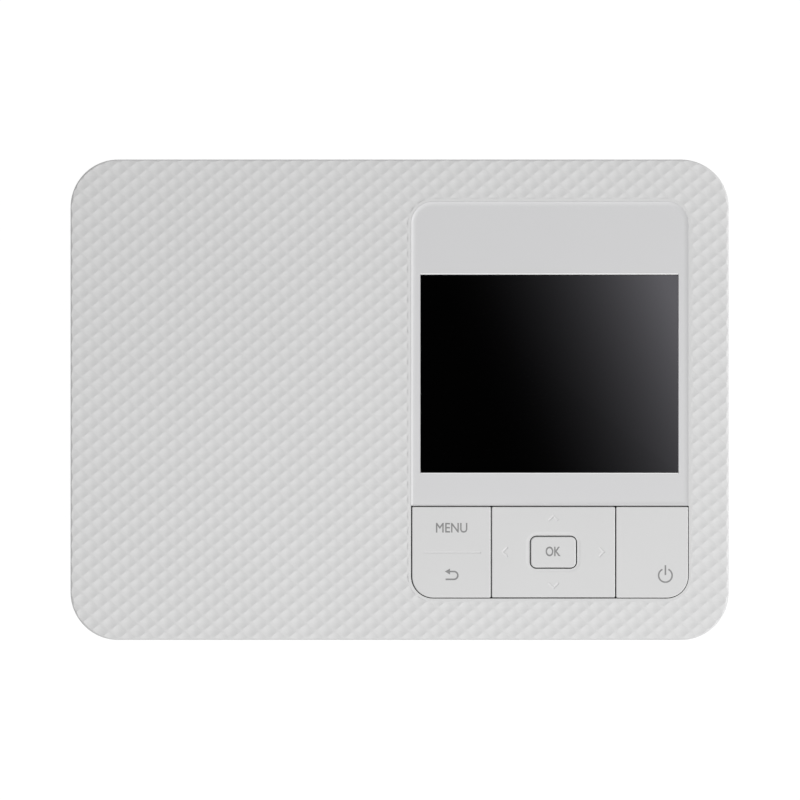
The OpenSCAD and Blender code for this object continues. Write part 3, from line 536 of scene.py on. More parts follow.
cover = rounded("top_cover_moulding", *around(0, 0, COVER_W, COVER_D, SEAM, TOP),
                radius=COVER_R, segments=20)
soften(cover, RIM, 6, lambda m, r: m.z > TOP - NEAR)
soften(cover, SEAM_EDGE, 2, lambda m, r: m.z < SEAM + NEAR)
cut(cover, rounded("cavity", *around(0, 0, COVER_W - 2 * WALL, COVER_D - 2 * WALL,
                                     SEAM - PAST, UNDER),
                   radius=COVER_R - WALL, segments=16))
weld(cover, corner_rods("pillar", PILLAR_R, PILLAR_X, PILLAR_Y, PILLAR_FOOT, UNDER + ROOT, 32))
cut(cover, corner_rods("thread", THREAD_R, PILLAR_X, PILLAR_Y, PILLAR_FOOT - PAST, THREAD_END, 24))
cut(cover, relief,
    flared("lip", ISLAND_X, ISLAND_Y, hole_w, hole_d, hole_r, LIP_RUN, LIP_DROP, TOP),
    rounded("island_hole", *around(ISLAND_X, ISLAND_Y, hole_w, hole_d, SEAM, TOP + 2 * PAST),
            radius=hole_r, segments=12))
crease(cover, ISLAND_X, ISLAND_Y, hole_w / 2 + LIP_RUN + 2 * NEAR,
       hole_d / 2 + LIP_RUN + 2 * NEAR, depth=MERGE)
# ABS from a spark-eroded mould: an even, dull light grey, with a grain that only
# breaks up the shading of the dimples. The real grain is finer than the render shows.
abs_light_grey = moulding("abs_light_grey_fine_grain", "#DADADA", 0.5, 0.22, 0.006)
finish(cover, abs_light_grey, "printer", "cover_plastic", "top_cover", angle=9)


# ---- Display panel ----
# A shallow tray of the same ABS, clipped under the cover. A hollow fillet runs from
# its rim down to the flat that carries the screen.
PANEL_FRONT = -29.47
PANEL_BACK = ISLAND_Y + ISLAND_D / 2
PANEL_FIT, PANEL_EDGE = 0.015, 0.05
TRAY = 0.3  # how deep the flat lies
FILLET, FILLET_STEPS = 1.4, 8
SCREEN_X, SCREEN_Y, SCREEN_W, SCREEN_D = 41.42, 7.2, 71.3, 54.7
SCREEN_UNDER = TOP - 1.6
# the window reaches past the screen's long edges to hold the white strips of painted highlight
EDGE_GAP, HIGHLIGHT_STRIP_FRONT, HIGHLIGHT_STRIP_BACK = 0.1, 0.28, 0.37
EDGE_FIT = 0.02
GAP_LEFT, GAP_RIGHT = 0.045, 0.115
SEAT = 3.0  # how much smaller the hole under the screen is
half_w, half_d = SCREEN_W / 2, SCREEN_D / 2 + EDGE_GAP
panel_y = (PANEL_FRONT + PANEL_BACK + GAP - PANEL_FIT) / 2
panel_w = hole_w - 2 * PANEL_FIT
panel_d = PANEL_BACK - PANEL_FRONT - PANEL_FIT
panel = block("display_tray", *around(ISLAND_X, panel_y, panel_w, panel_d, UNDER - 1, TOP))
soften(panel, hole_r, 16, lambda m, r: along(2)(m, r) and m.y > panel_y)
soften(panel, PANEL_EDGE, 1, lambda m, r: m.z > TOP - NEAR)
edit(panel)
pick_faces(panel, lambda m, n: n.z > STRAIGHT and m.z > TOP - NEAR)
arc_r = (FILLET ** 2 + TRAY ** 2) / (2 * TRAY)
last = TOP
for step in range(1, FILLET_STEPS + 1):
    run = FILLET * step / FILLET_STEPS
    level = TOP - TRAY + arc_r - math.sqrt(arc_r ** 2 - (FILLET - run) ** 2)
    bpy.ops.mesh.inset(thickness=FILLET / FILLET_STEPS * MM)
    bpy.ops.transform.translate(value=(0, 0, (level - last) * MM))
    last = level
close()
window_low = (SCREEN_X - half_w - GAP_LEFT,
              SCREEN_Y - half_d - HIGHLIGHT_STRIP_FRONT - EDGE_FIT, SCREEN_UNDER)
window_high = (SCREEN_X + half_w + GAP_RIGHT,
               SCREEN_Y + half_d + HIGHLIGHT_STRIP_BACK + EDGE_FIT, TOP + PAST)
cut(panel, rounded("window", window_low, window_high, radius=0.3, segments=4),
    block("light_hole", *around(SCREEN_X, SCREEN_Y, SCREEN_W - SEAT, SCREEN_D - SEAT,
                                UNDER - 2 * PAST, TOP)))
# ABS from a polished mould: the cover's grey, smoother and with a little more sheen
abs_panel = moulding("abs_light_grey_smooth", "#D8D8D9", 0.42, 0.12, 0.001)
finish(panel, abs_panel, "printer", "cover_plastic", "display_panel", angle=20)


# ---- Screen ----
# The cover sheet of the colour screen: polished black from side to side while the
# screen is off. It lies in the tray's window, a hair below the flat.
SCREEN_TOP = TOP - TRAY - 0.05
SCREEN_R, SCREEN_EDGE = 0.5, 0.06
screen = rounded("screen_sheet", *around(SCREEN_X, SCREEN_Y, SCREEN_W, SCREEN_D,
                                         SCREEN_UNDER, SCREEN_TOP),
                 radius=SCREEN_R, segments=4)
soften(screen, SCREEN_EDGE, 2, lambda m, r: m.z > SCREEN_TOP - NEAR)
# polished acrylic, painted black from behind: a deep black that mirrors the card, with
# the faint haze of wiped plastic
SMEARS = 60.0  # to the metre, so each is about 17 mm across
polished_black, tree, shader, place = raw_material("polished_black_acrylic")
haze = node(tree, "ShaderNodeTexNoise",
            inputs={"Vector": place, "Scale": SMEARS, "Detail": 4.0})
smear = node(tree, "ShaderNodeMapRange", inputs={
    "Value": haze.outputs["Fac"], "To Min": 0.02, "To Max": 0.045})
feed(tree, shader, {"Roughness": smear.outputs[0], "Base Color": colour("#020202"), "IOR": 1.5})
finish(screen, polished_black, "printer", "screen_black", "screen_glass")

# near-white strips along the sheet's long edges: painted highlights for the thin pale lines of
# light that these edges show
HIGHLIGHT_STRIP_TOP, HIGHLIGHT_STRIP_ROUND = SCREEN_TOP + 0.06, 0.04
edges = []
for y0, y1 in ((SCREEN_Y + half_d, SCREEN_Y + half_d + HIGHLIGHT_STRIP_BACK),
               (SCREEN_Y - half_d - HIGHLIGHT_STRIP_FRONT, SCREEN_Y - half_d)):
    edge = block("painted_highlight_strip", (SCREEN_X - half_w, y0, SCREEN_UNDER),
                 (SCREEN_X + half_w, y1, HIGHLIGHT_STRIP_TOP))
    soften(edge, HIGHLIGHT_STRIP_ROUND, 2, lambda m, r: m.z > HIGHLIGHT_STRIP_TOP - NEAR)
    edges.append(edge)
screen_edge_painted_highlights = join("screen_edge_painted_highlights", edges)
# painted highlight: a white, matt acrylic strip that stands in for the light along the screen's
# edges
white_painted_highlight = moulding("acrylic_white_painted_highlight", "#FDFDFD", 0.5, 0.1, 0.001, ior=1.49)
finish(screen_edge_painted_highlights, white_painted_highlight, "printer", "cover_plastic")


# ---- Keys ----
# Three flush keys and the button in the middle one, in smooth ABS. Each has a small
# radius along its top edge. Grooves are moulded in, and the signs are pad-printed.
ROCK_Y = -42.18  # the axis on which the left key rocks
SPLIT_LEFT, SPLIT_RIGHT = 25.34, 59.74
KEY_TOP = TOP - 0.03
KEY_UNDER = TOP - 2.2
KEY_EDGE, KEY_CORNER = 0.28, 0.35
SWITCH_TOP = TOP - 3.25
PIN_Z = TOP - 3.2
SINK = 0.1  # how far a lug or plunger runs into its key
island_front = ISLAND_Y - ISLAND_D / 2
island_left = ISLAND_X - ISLAND_W / 2
island_right = ISLAND_X + ISLAND_W / 2


def key(name, x0, x1, round_side, snug_side=0.0, snug_front=0.0):
    """A key plate between two X lines. round_side is -1 or 1 for the side whose front
    corner follows the island's corner, or 0. The snug values narrow the outer gaps."""
    half = GAP / 2
    left, right = x0 + half, x1 - half
    front, back = island_front + half - snug_front, PANEL_FRONT - half
    if round_side < 0:
        left -= snug_side
    else:
        right += snug_side
    piece = block(name, (left, front, KEY_UNDER), (right, back, KEY_TOP))
    middle = (x0 + x1) / 2

    def big_corner(m, r):
        return along(2)(m, r) and round_side * (m.x - middle) > 0 and m.y < ROCK_Y

    def small_corner(m, r):
        return along(2)(m, r) and any(abs(m.x - x) < NEAR and abs(m.y - y) < NEAR
                                      for x in (left, right) for y in (front, back))

    if round_side:
        soften(piece, ISLAND_R - half, 12, big_corner)
    soften(piece, KEY_CORNER, 3, small_corner)
    soften(piece, KEY_EDGE, 6, lambda m, r: m.z > KEY_TOP - NEAR)
    return piece


def lug(piece, x0, x1, y):
    """The hinge lug under a key, with its pins."""
    half, drop, pin_r, reach = 1.1, 0.9, 0.6, 1.4
    weld(piece, block("lug", (x0, y - half, PIN_Z - drop), (x1, y + half, KEY_UNDER + SINK)),
         rod("lug_pin", pin_r, (x0 - reach, y, PIN_Z), (x1 + reach, y, PIN_Z), 20))


def plungers(piece, *spots):
    """The pegs that press the switches."""
    for x, y in spots:
        weld(piece, post("plunger", 1.0, x, y, SWITCH_TOP, KEY_UNDER + SINK, 20))


def groove(points, width, depth):
    """A tool that engraves a V-shaped line through points."""
    lift = 0.05
    bars = []
    for (x0, y0), (x1, y1) in zip(points, points[1:]):
        half = math.hypot(x1 - x0, y1 - y0) / 2 + width / 4
        wide = width * (depth + lift) / depth / 2
        bar = block("groove", (-half, -wide, KEY_TOP - depth), (half, wide, KEY_TOP + lift))
        edit(bar)
        pick_faces(bar, lambda m, n: n.z < -STRAIGHT)
        bpy.ops.transform.resize(value=(1, 0, 1), center_override=(0, 0, 0))
        pick_all()
        bpy.ops.mesh.remove_doubles(threshold=MERGE * MM)
        close()
        bar.rotation_euler.z = math.atan2(y1 - y0, x1 - x0)
        bar.location = ((x0 + x1) / 2 * MM, (y0 + y1) / 2 * MM, 0)
        bake_place()
        bars.append(bar)
    weld(bars[0], *bars[1:])
    return bars[0]


def chevron(x, y, dx, dy):
    """An engraved arrow head with its tip at x and y, pointing along dx and dy."""
    back, spread = 1.15, 1.2
    ends = [(x - dx * back + dy * spread, y - dy * back + dx * spread),
            (x - dx * back - dy * spread, y - dy * back - dx * spread)]
    return groove([ends[0], (x, y), ends[1]], width=0.72, depth=0.16)


RULE_X0, RULE_X1, RULE_Y = 6.82, 22.32, ROCK_Y - 0.08
menu = key("menu_key_cap", island_left, SPLIT_LEFT, -1, snug_front=0.07)
cut(menu, groove([(RULE_X0, RULE_Y), (RULE_X1, RULE_Y)], width=0.66, depth=0.16))
lug(menu, 7, 21.5, ROCK_Y)
plungers(menu, (14, ROCK_Y + 9), (14, ROCK_Y - 9))
# ABS from a satin mould: the cover's grey, so smooth that only its edges show light
abs_key = moulding("abs_light_grey_satin", "#DADADA", 0.42, 0.12, 0.002)
finish(menu, abs_key, "menu_key", "key_plastic", "menu_key", angle=17)

OK_X, OK_Y, OK_W, OK_D, OK_R = 42.53, -42.18, 12.82, 8.89, 1.5
OK_HOLE_R = 1.9
DISH_FLOOR, DISH_RUN, DISH_DROP = 0.55, 0.45, 0.07
ok_hole_w, ok_hole_d = OK_W + GAP, OK_D + GAP
dish_w, dish_d = ok_hole_w + 2 * DISH_FLOOR, ok_hole_d + 2 * DISH_FLOOR
pad = key("pad_cap", SPLIT_LEFT, SPLIT_RIGHT, 0)
cut(pad, flared("dish", OK_X, OK_Y, dish_w, dish_d, OK_HOLE_R + DISH_FLOOR,
                DISH_RUN, DISH_DROP, KEY_TOP),
    rounded("ok_hole", *around(OK_X, OK_Y, ok_hole_w, ok_hole_d, KEY_UNDER - PAST, TOP + PAST),
            radius=OK_HOLE_R, segments=8),
    chevron(28.57, -42.1, -1, 0), chevron(56.47, -42.1, 1, 0),
    chevron(42.57, -32.15, 0, 1), chevron(42.62, -52.0, 0, -1))
crease(pad, OK_X, OK_Y, dish_w / 2 + DISH_RUN + 2 * NEAR, dish_d / 2 + DISH_RUN + 2 * NEAR,
       depth=DISH_DROP + NEAR)
# the pad's two lugs hang on the gimbal ring
LUG_OFF, LUG_HALF_W, LUG_HALF_D, LUG_DROP, BORE_R = 7.7, 1.3, 0.5, 1.0, 0.65
for y in (OK_Y - LUG_OFF, OK_Y + LUG_OFF):
    gimbal_lug = block("gimbal_lug", (OK_X - LUG_HALF_W, y - LUG_HALF_D, PIN_Z - LUG_DROP),
                       (OK_X + LUG_HALF_W, y + LUG_HALF_D, KEY_UNDER + SINK))
    cut(gimbal_lug, rod("gimbal_bore", BORE_R, (OK_X, y - 1, PIN_Z), (OK_X, y + 1, PIN_Z), 24))
    weld(pad, gimbal_lug)
# two pockets leave room for the key frame's lugs when the pad tilts
ROOM_OFF, ROOM_HALF_W, ROOM_HALF_D, ROOM_RISE = 10, 0.9, 1.6, 0.4
for x in (OK_X - ROOM_OFF, OK_X + ROOM_OFF):
    cut(pad, block("lug_room", (x - ROOM_HALF_W, OK_Y - ROOM_HALF_D, KEY_UNDER - PAST),
                   (x + ROOM_HALF_W, OK_Y + ROOM_HALF_D, KEY_UNDER + ROOM_RISE)))
plungers(pad, (OK_X - 13.5, OK_Y), (OK_X + 13.5, OK_Y), (OK_X, OK_Y - 10.4), (OK_X, OK_Y + 10.4))
finish(pad, abs_key, "nav_pad", "key_plastic", "nav_pad", angle=17)

OK_EDGE, STEM_R = 0.35, 1.6
ok = rounded("ok_button", *around(OK_X, OK_Y, OK_W - GAP, OK_D - GAP, KEY_UNDER + 0.2, KEY_TOP),
             radius=OK_R, segments=8)
soften(ok, OK_EDGE, 4, lambda m, r: m.z > KEY_TOP - NEAR)
weld(ok, post("stem", STEM_R, OK_X, OK_Y, SWITCH_TOP, KEY_UNDER + 0.3, 24))
finish(ok, abs_key, "ok_key", "key_plastic", "ok_key")

power = key("power_key_cap", SPLIT_RIGHT, island_right, 1, snug_side=0.1, snug_front=0.08)
lug(power, 64, 76, PANEL_FRONT - 2.3)
plungers(power, (70, PANEL_FRONT - 16.7))
finish(power, abs_key, "power_key", "key_plastic", "power_key", angle=17)


# ---- Printed signs ----
# Function words and signs in pad-printing ink, a thin film on the keys' faces. The
# words are stretched to the sizes in the photograph.
INK = 0.02  # the film's height above the key, and as much again lies in it
PEN = 0.44
# grey ink: flat, even and a little duller than the key under it
pad_ink = moulding("grey_pad_print_ink", "#898989", 0.5, 0.1, 0.001)


def word(name, text, x, y, width, height, bold):
    """A printed word, centred on x and y, stretched to its width and capital height."""
    bpy.ops.object.text_add()
    letters = bpy.context.object
    letters.data.body = text
    letters.data.fill_mode = "BOTH"
    letters.data.extrude = 0.01
    letters.data.bevel_depth = bold
    letters.data.bevel_resolution = 0
    bpy.ops.object.convert(target="MESH")
    low, high = Vector(letters.bound_box[0]), Vector(letters.bound_box[6])
    size = high - low
    edit(letters)
    pick_all()
    bpy.ops.mesh.remove_doubles(threshold=0.0001)
    bpy.ops.transform.translate(value=-(low + high) / 2)
    stretch = (width * MM / size.x, height * MM / size.y, 2 * INK * MM / size.z)
    bpy.ops.transform.resize(value=stretch, center_override=(0, 0, 0))
    bpy.ops.transform.translate(value=(x * MM, y * MM, KEY_TOP * MM))
    bpy.ops.mesh.normals_make_consistent(inside=False)
    close()
    letters.name = name
    return letters


def arc(radius, width, x, y, start, sweep, steps):
    """A printed arc: the end of the stroke is drawn as a small face and spun."""
    a = math.radians(start)
    end_x, end_y = x + radius * math.cos(a), y + radius * math.sin(a)
    bpy.ops.mesh.primitive_plane_add(size=1, location=(end_x * MM, end_y * MM, KEY_TOP * MM),
                                     rotation=(math.pi / 2, 0, a))
    piece = bpy.context.object
    piece.scale = (width * MM, 2 * INK * MM, 1)
    bake_place()
    edit(piece)
    pick_all()
    bpy.ops.mesh.spin(steps=steps, angle=-math.radians(sweep),
                      center=(x * MM, y * MM, KEY_TOP * MM), axis=(0, 0, 1))
    pick_all()
    bpy.ops.mesh.normals_make_consistent(inside=False)
    close()
    return piece


def stroke(x0, x1, y0, y1):
    """A printed bar between two X and two Y lines."""
    return block("stroke", (x0, y0, KEY_TOP - INK), (x1, y1, KEY_TOP + INK))


menu_word = word("menu_word", "MENU", x=14.39, y=-35.42, width=8.7, height=2.7, bold=0.012)
finish(menu_word, pad_ink, "menu_key", "key_plastic")
ok_word = word("ok_word", "OK", x=42.47, y=-41.97, width=4.15, height=2.7, bold=0.02)
finish(ok_word, pad_ink, "ok_key", "key_plastic")

# the return arrow: a head, a line, a half turn and a line, a hair apart
HAIR = 0.005
BACK_X, BACK_Y, BACK_R = 15.02, -48.6, 1.08
ARROW_R, ARROW_OFF = 0.95, 1.55
LINE_TOP, LINE_FOOT = 1.07, 2.3
bpy.ops.mesh.primitive_cylinder_add(
    vertices=3, radius=ARROW_R * MM, depth=2 * INK * MM, rotation=(0, 0, math.pi / 2),
    location=((BACK_X - ARROW_OFF) * MM, (BACK_Y + BACK_R) * MM, KEY_TOP * MM))
bake_place()
arrow_head = bpy.context.object
back_sign = join("back_sign", [
    arrow_head, arc(BACK_R, PEN, BACK_X, BACK_Y, start=-90, sweep=180, steps=16)] + [
    stroke(BACK_X - length, BACK_X - HAIR, y - PEN / 2, y + PEN / 2)
    for length, y in ((LINE_TOP, BACK_Y + BACK_R), (LINE_FOOT, BACK_Y - BACK_R))])
finish(back_sign, pad_ink, "menu_key", "key_plastic")

# the power sign: a ring with a gap at its top, and a bar that runs out through it
RING_X, RING_Y, RING_R, RING_PEN = 73.52, -48.6, 1.87, 0.42
RING_GAP = 26  # half the gap's angle
BAR_LOW, BAR_HIGH = 0.1, 2.85
power_sign = join("power_sign", [
    arc(RING_R, RING_PEN, RING_X, RING_Y, start=90 + RING_GAP, sweep=360 - 2 * RING_GAP, steps=36),
    stroke(RING_X - RING_PEN / 2, RING_X + RING_PEN / 2, RING_Y + BAR_LOW, RING_Y + BAR_HIGH)])
finish(power_sign, pad_ink, "power_key", "key_plastic")


# ---- Middle shell ----
# The ring of the case between the base and the lid, one moulding of white ABS that the
# four long screws hold. Slots and sockets are moulded through its sides and its back.
SHELL_X, SHELL_Y, SHELL_R = 90.5, 65.9, 12.6
BASE_TOP = 13.0
EDGE = 0.3
SET_BACK = 0.6  # how far the base lies inside the shell's outline
SLOT_HALF, SLOT_R = 0.7, 0.69
FAN_Y, FAN_Z = -33.5, 26.5
SIDE_SLOT_RISE, SIDE_SLOT_STEP = 9, 2.6
BACK_SLOT_X, BACK_SLOT_LOW, BACK_SLOT_HIGH, BACK_SLOT_STEP = -65, 20, 44, 3
READER_Y0, READER_Y1, READER_Z0, READER_Z1 = -31.5, -6.5, 47.4, 50.2
PAPER_X0, PAPER_X1, PAPER_Z0, PAPER_Z1 = -48, 60, 26.4, 32
PORT_X, JACK_Z, USB_Z = 70.0, 20.0, 34.0
JACK_R, USB_HALF_W, USB_HALF_H, USB_R = 4.1, 5.2, 2.3, 1.2
FRONT_X0, FRONT_X1, FRONT_Z0, FRONT_Z1 = -52.3, 64.3, 4.6, 25.3
INK_Y0, INK_Y1, INK_Z0, INK_Z1 = -24.3, 50.3, 14.9, 49.9
# the tools for the left and the back wall run between these lines
left_out, left_in = -SHELL_X - PAST, -SHELL_X + WALL + PAST
back_in, back_out = SHELL_Y - WALL - PAST, SHELL_Y + PAST
ring = rounded("middle_shell", *around(0, 0, 2 * SHELL_X, 2 * SHELL_Y, BASE_TOP, SEAM),
               radius=SHELL_R, segments=20)
side_slot = rounded("side_slot", (left_out, FAN_Y - SLOT_HALF, FAN_Z - SIDE_SLOT_RISE),
                    (left_in, FAN_Y + SLOT_HALF, FAN_Z + SIDE_SLOT_RISE),
                    radius=SLOT_R, segments=6, axis=0)
back_slot = rounded("back_slot", (BACK_SLOT_X - SLOT_HALF, back_in, BACK_SLOT_LOW),
                    (BACK_SLOT_X + SLOT_HALF, back_out, BACK_SLOT_HIGH),
                    radius=SLOT_R, segments=6, axis=1)
cut(ring,
    rounded("cavity", *around(0, 0, 2 * (SHELL_X - WALL), 2 * (SHELL_Y - WALL),
                              BASE_TOP - PAST, SEAM + PAST),
            radius=SHELL_R - WALL, segments=16),
    block("front_mouth", (FRONT_X0, -SHELL_Y - PAST, FRONT_Z0),
          (FRONT_X1, -SHELL_Y + 3.3, FRONT_Z1)),
    block("ink_mouth", (SHELL_X - WALL - PAST, INK_Y0, INK_Z0), (SHELL_X + PAST, INK_Y1, INK_Z1)),
    row_of("side_slots", side_slot,
           *[(0, i * SIDE_SLOT_STEP, 0) for i in (-4, -3, -2, -1, 1, 2, 3, 4)]),
    row_of("back_slots", back_slot, *[(i * BACK_SLOT_STEP, 0, 0) for i in (-3, -2, -1, 1, 2, 3)]),
    rounded("card_slot", (left_out, READER_Y0, READER_Z0), (left_in, READER_Y1, READER_Z1),
            radius=0.6, segments=5, axis=0),
    rounded("paper_slot", (PAPER_X0, back_in, PAPER_Z0), (PAPER_X1, back_out, PAPER_Z1),
            radius=0.8, segments=5, axis=1),
    rod("jack_hole", JACK_R, (PORT_X, back_in, JACK_Z), (PORT_X, back_out, JACK_Z)),
    rounded("usb_hole", (PORT_X - USB_HALF_W, back_in, USB_Z - USB_HALF_H),
            (PORT_X + USB_HALF_W, back_out, USB_Z + USB_HALF_H),
            radius=USB_R, segments=6, axis=1))


def outside(middle, run):
    """An edge in the outer skin of the middle shell or the base."""
    inset = NEAR if middle.z > BASE_TOP - NEAR else SET_BACK + NEAR
    x, y = abs(middle.x), abs(middle.y)
    flat = x > SHELL_X - inset or y > SHELL_Y - inset
    corner = x > SHELL_X - SHELL_R and y > SHELL_Y - SHELL_R
    arc_run = math.hypot(x - SHELL_X + SHELL_R, y - SHELL_Y + SHELL_R)
    return flat or corner and arc_run > SHELL_R - SET_BACK - 0.1


soften(ring, EDGE, 3, outside, sharp=True)
BOSS_R, BOSS_X0, BOSS_X1, BOSS_OFF = 1.6, -88.6, -87.4, 10.5
y, z, apart = FAN_Y + BOSS_OFF, FAN_Z + BOSS_OFF, -2 * BOSS_OFF
weld(ring, row_of("fan_bosses", rod("fan_boss", BOSS_R, (BOSS_X0, y, z), (BOSS_X1, y, z), 24),
                  (0, apart, 0), (0, 0, apart), (0, apart, apart)))
PIN_BORE_R, FIT_R = 0.6, 0.65  # for a pin that is held, and one that turns
INK_PIN_X, INK_PIN_Z = 89.3, 16.8
ink_pin_bore = rod("ink_pin_bore", PIN_BORE_R, (INK_PIN_X, 47, INK_PIN_Z),
                   (INK_PIN_X, 53, INK_PIN_Z), 20)
cut(ring, row_of("ink_pin_bores", ink_pin_bore, (0, -74, 0)))
# ABS from a coarser spark-eroded mould: white, dull and faintly rough to the light
abs_shell = moulding("abs_white_spark_grain", "#D6D6D5", 0.55, 0.3, 0.01)
finish(ring, abs_shell, "printer", "shell_plastic", "body_shell")


# ---- Base ----
# The floor of the case, moulded in the same white ABS, with screw wells, foot seats and
# the lower part of the paper bay's mouth. Its bottom edge is rounded off.
BASE_X, BASE_Y, BASE_R = 89.9, 65.3, 12.0
BASE_RIM = 1.5
FOOT_H = 1.4
FLOOR_Z = FOOT_H + WALL
FOOT_X, FOOT_Y, FOOT_R, FOOT_SINK = 66.0, 50.0, 5.5, 0.6
WELL_R, WELL_BORE_R, WELL_DEPTH, SHANK_HOLE_R = 4.0, 3.2, 2.6, 1.6
BOSS_X, BOSS_Y, BOSS_W, BOSS_D = -36, 14, 82, 36
CHASSIS_BOSS_R, CHASSIS_HOLE_R, CHASSIS_BOSS_H = 3.5, 1.25, 2.0
FRONT_PIN_Y, FRONT_PIN_Z = -64.3, 6.8
boss_shifts = ((BOSS_W, 0, 0), (0, BOSS_D, 0), (BOSS_W, BOSS_D, 0))
base = rounded("base_moulding", *around(0, 0, 2 * BASE_X, 2 * BASE_Y, FOOT_H, BASE_TOP),
               radius=BASE_R, segments=20)
soften(base, BASE_RIM, 6, lambda m, r: m.z < FOOT_H + NEAR)
cut(base, rounded("cavity", *around(0, 0, 2 * (BASE_X - WALL), 2 * (BASE_Y - WALL),
                                    FLOOR_Z, BASE_TOP + PAST),
                  radius=BASE_R - WALL, segments=16))
weld(base, corner_rods("well", WELL_R, PILLAR_X, PILLAR_Y, FLOOR_Z - ROOT, BASE_TOP, 32))
boss = post("chassis_boss", CHASSIS_BOSS_R, BOSS_X, BOSS_Y, FLOOR_Z - ROOT,
            FLOOR_Z + CHASSIS_BOSS_H, 32)
weld(base, row_of("chassis_bosses", boss, *boss_shifts))
hole = post("chassis_hole", CHASSIS_HOLE_R, BOSS_X, BOSS_Y, FOOT_H - PAST,
            FLOOR_Z + CHASSIS_BOSS_H + PAST, 24)
pin_bore = rod("front_pin_bore", PIN_BORE_R, (-55, FRONT_PIN_Y, FRONT_PIN_Z),
               (-49, FRONT_PIN_Y, FRONT_PIN_Z), 20)
cut(base,
    corner_rods("screw_hole", SHANK_HOLE_R, PILLAR_X, PILLAR_Y, 0, BASE_TOP + PAST, 24),
    corner_rods("screw_well", WELL_BORE_R, PILLAR_X, PILLAR_Y, 0, FOOT_H + WELL_DEPTH, 40),
    corner_rods("foot_seat", FOOT_R + 0.1, FOOT_X, FOOT_Y, 0, FOOT_H + FOOT_SINK, 48),
    row_of("chassis_holes", hole, *boss_shifts),
    block("front_mouth", (FRONT_X0, -SHELL_Y - PAST, FRONT_Z0),
          (FRONT_X1, -BASE_Y + WALL + 0.7, FRONT_Z1)),
    row_of("front_pin_bores", pin_bore, (116, 0, 0)))
soften(base, EDGE, 3, lambda m, r: outside(m, r) and m.z > FOOT_H + BASE_RIM + 0.1, sharp=True)
soften(base, SEAM_EDGE, 2, lambda m, r: m.z < FOOT_H + NEAR, sharp=True)
finish(base, abs_shell, "printer", "shell_plastic", "base_shell")


# ---- Front door ----
# The flap of the paper bay, in the same white ABS. It tips forward about the barrel
# along its lower edge, and has a finger recess in its upper edge.
FLAP = 1.8
BARREL_IN = 0.05  # the barrels stop just short of the flaps' ends
FLAP_X0, FLAP_X1, FLAP_Z0, FLAP_Z1 = -52, 64, 5.6, 25
door = block("front_flap", (FLAP_X0, -SHELL_Y, FLAP_Z0), (FLAP_X1, -SHELL_Y + FLAP, FLAP_Z1))
rib = block("rib", (-46, -64.9, 6.85), (-44, -61.9, 22))
weld(door, rod("barrel", 1.3, (FLAP_X0 + BARREL_IN, FRONT_PIN_Y, FRONT_PIN_Z),
               (FLAP_X1 - BARREL_IN, FRONT_PIN_Y, FRONT_PIN_Z)),
     row_of("ribs", rib, (102, 0, 0)))
pin_bore = rod("pin_bore", FIT_R, (FLAP_X0 - PAST, FRONT_PIN_Y, FRONT_PIN_Z),
               (FLAP_X0 + 4, FRONT_PIN_Y, FRONT_PIN_Z), 20)
cut(door, rounded("finger_recess", (-5, -SHELL_Y - PAST, 22.8), (17, -SHELL_Y + 1, 27),
                  radius=1.5, segments=6, axis=1),
    row_of("pin_bores", pin_bore, (112, 0, 0)))
soften(door, EDGE, 3, lambda m, r: m.y < -SHELL_Y + NEAR or m.z > FLAP_Z1 - NEAR, sharp=True)
finish(door, abs_shell, "front_door", "shell_plastic", "front_door")


# ---- Ink door ----
# The flap over the ink cassette, on the right side. It drops outwards about the barrel
# along its lower edge, in the same white ABS.
HATCH_Y0, HATCH_Y1, HATCH_Z0, HATCH_Z1 = -24, 50, 15.6, 49.6
door = block("ink_flap", (SHELL_X - FLAP, HATCH_Y0, HATCH_Z0), (SHELL_X, HATCH_Y1, HATCH_Z1))
rib = block("rib", (86.5, -21.5, 20.8), (89.5, -19.5, 46.6))
weld(door, rod("barrel", 1.19, (INK_PIN_X, HATCH_Y0 + BARREL_IN, INK_PIN_Z),
               (INK_PIN_X, HATCH_Y1 - BARREL_IN, INK_PIN_Z)),
     row_of("ribs", rib, (0, 67, 0)))
pin_bore = rod("pin_bore", FIT_R, (INK_PIN_X, HATCH_Y0 - PAST, INK_PIN_Z),
               (INK_PIN_X, HATCH_Y0 + 4, INK_PIN_Z), 20)
cut(door, rounded("finger_recess", (SHELL_X - 1, 3, 47.4), (SHELL_X + PAST, 23, 52),
                  radius=1.5, segments=6, axis=0),
    row_of("pin_bores", pin_bore, (0, 71, 0)))
soften(door, EDGE, 3, lambda m, r: m.x > SHELL_X - NEAR or m.z > HATCH_Z1 - NEAR, sharp=True)
finish(door, abs_shell, "ink_door", "shell_plastic", "ink_door")


# ---- Feet ----
# Four round feet of moulded grey rubber, glued in seats in the base. Each has a ring
# sunk in its sole, and a rounded edge.
RING_OUT, RING_IN, RING_DEPTH, FOOT_EDGE = 3.4, 2.8, 0.2, 0.35
foot = post("rubber_foot", FOOT_R, FOOT_X, FOOT_Y, 0, FOOT_H + FOOT_SINK, 64)
soften(foot, FOOT_EDGE, 4, lambda m, r: m.z < NEAR)
ring_tool = post("ring", RING_OUT, FOOT_X, FOOT_Y, -PAST, RING_DEPTH)
cut(ring_tool, post("core", RING_IN, FOOT_X, FOOT_Y, -2 * PAST, PAST))
cut(foot, ring_tool)
feet = at_corners(foot, FOOT_X, FOOT_Y)
# moulded rubber: dark grey and quite matt, with a dusty grain
foot_rubber = moulding("rubber_grey_matt", "#4A4A4A", 0.8, 0.3, 0.01, 0.05, 1.52)
finish(feet, foot_rubber, "printer", "foot_rubber", "rubber_feet")


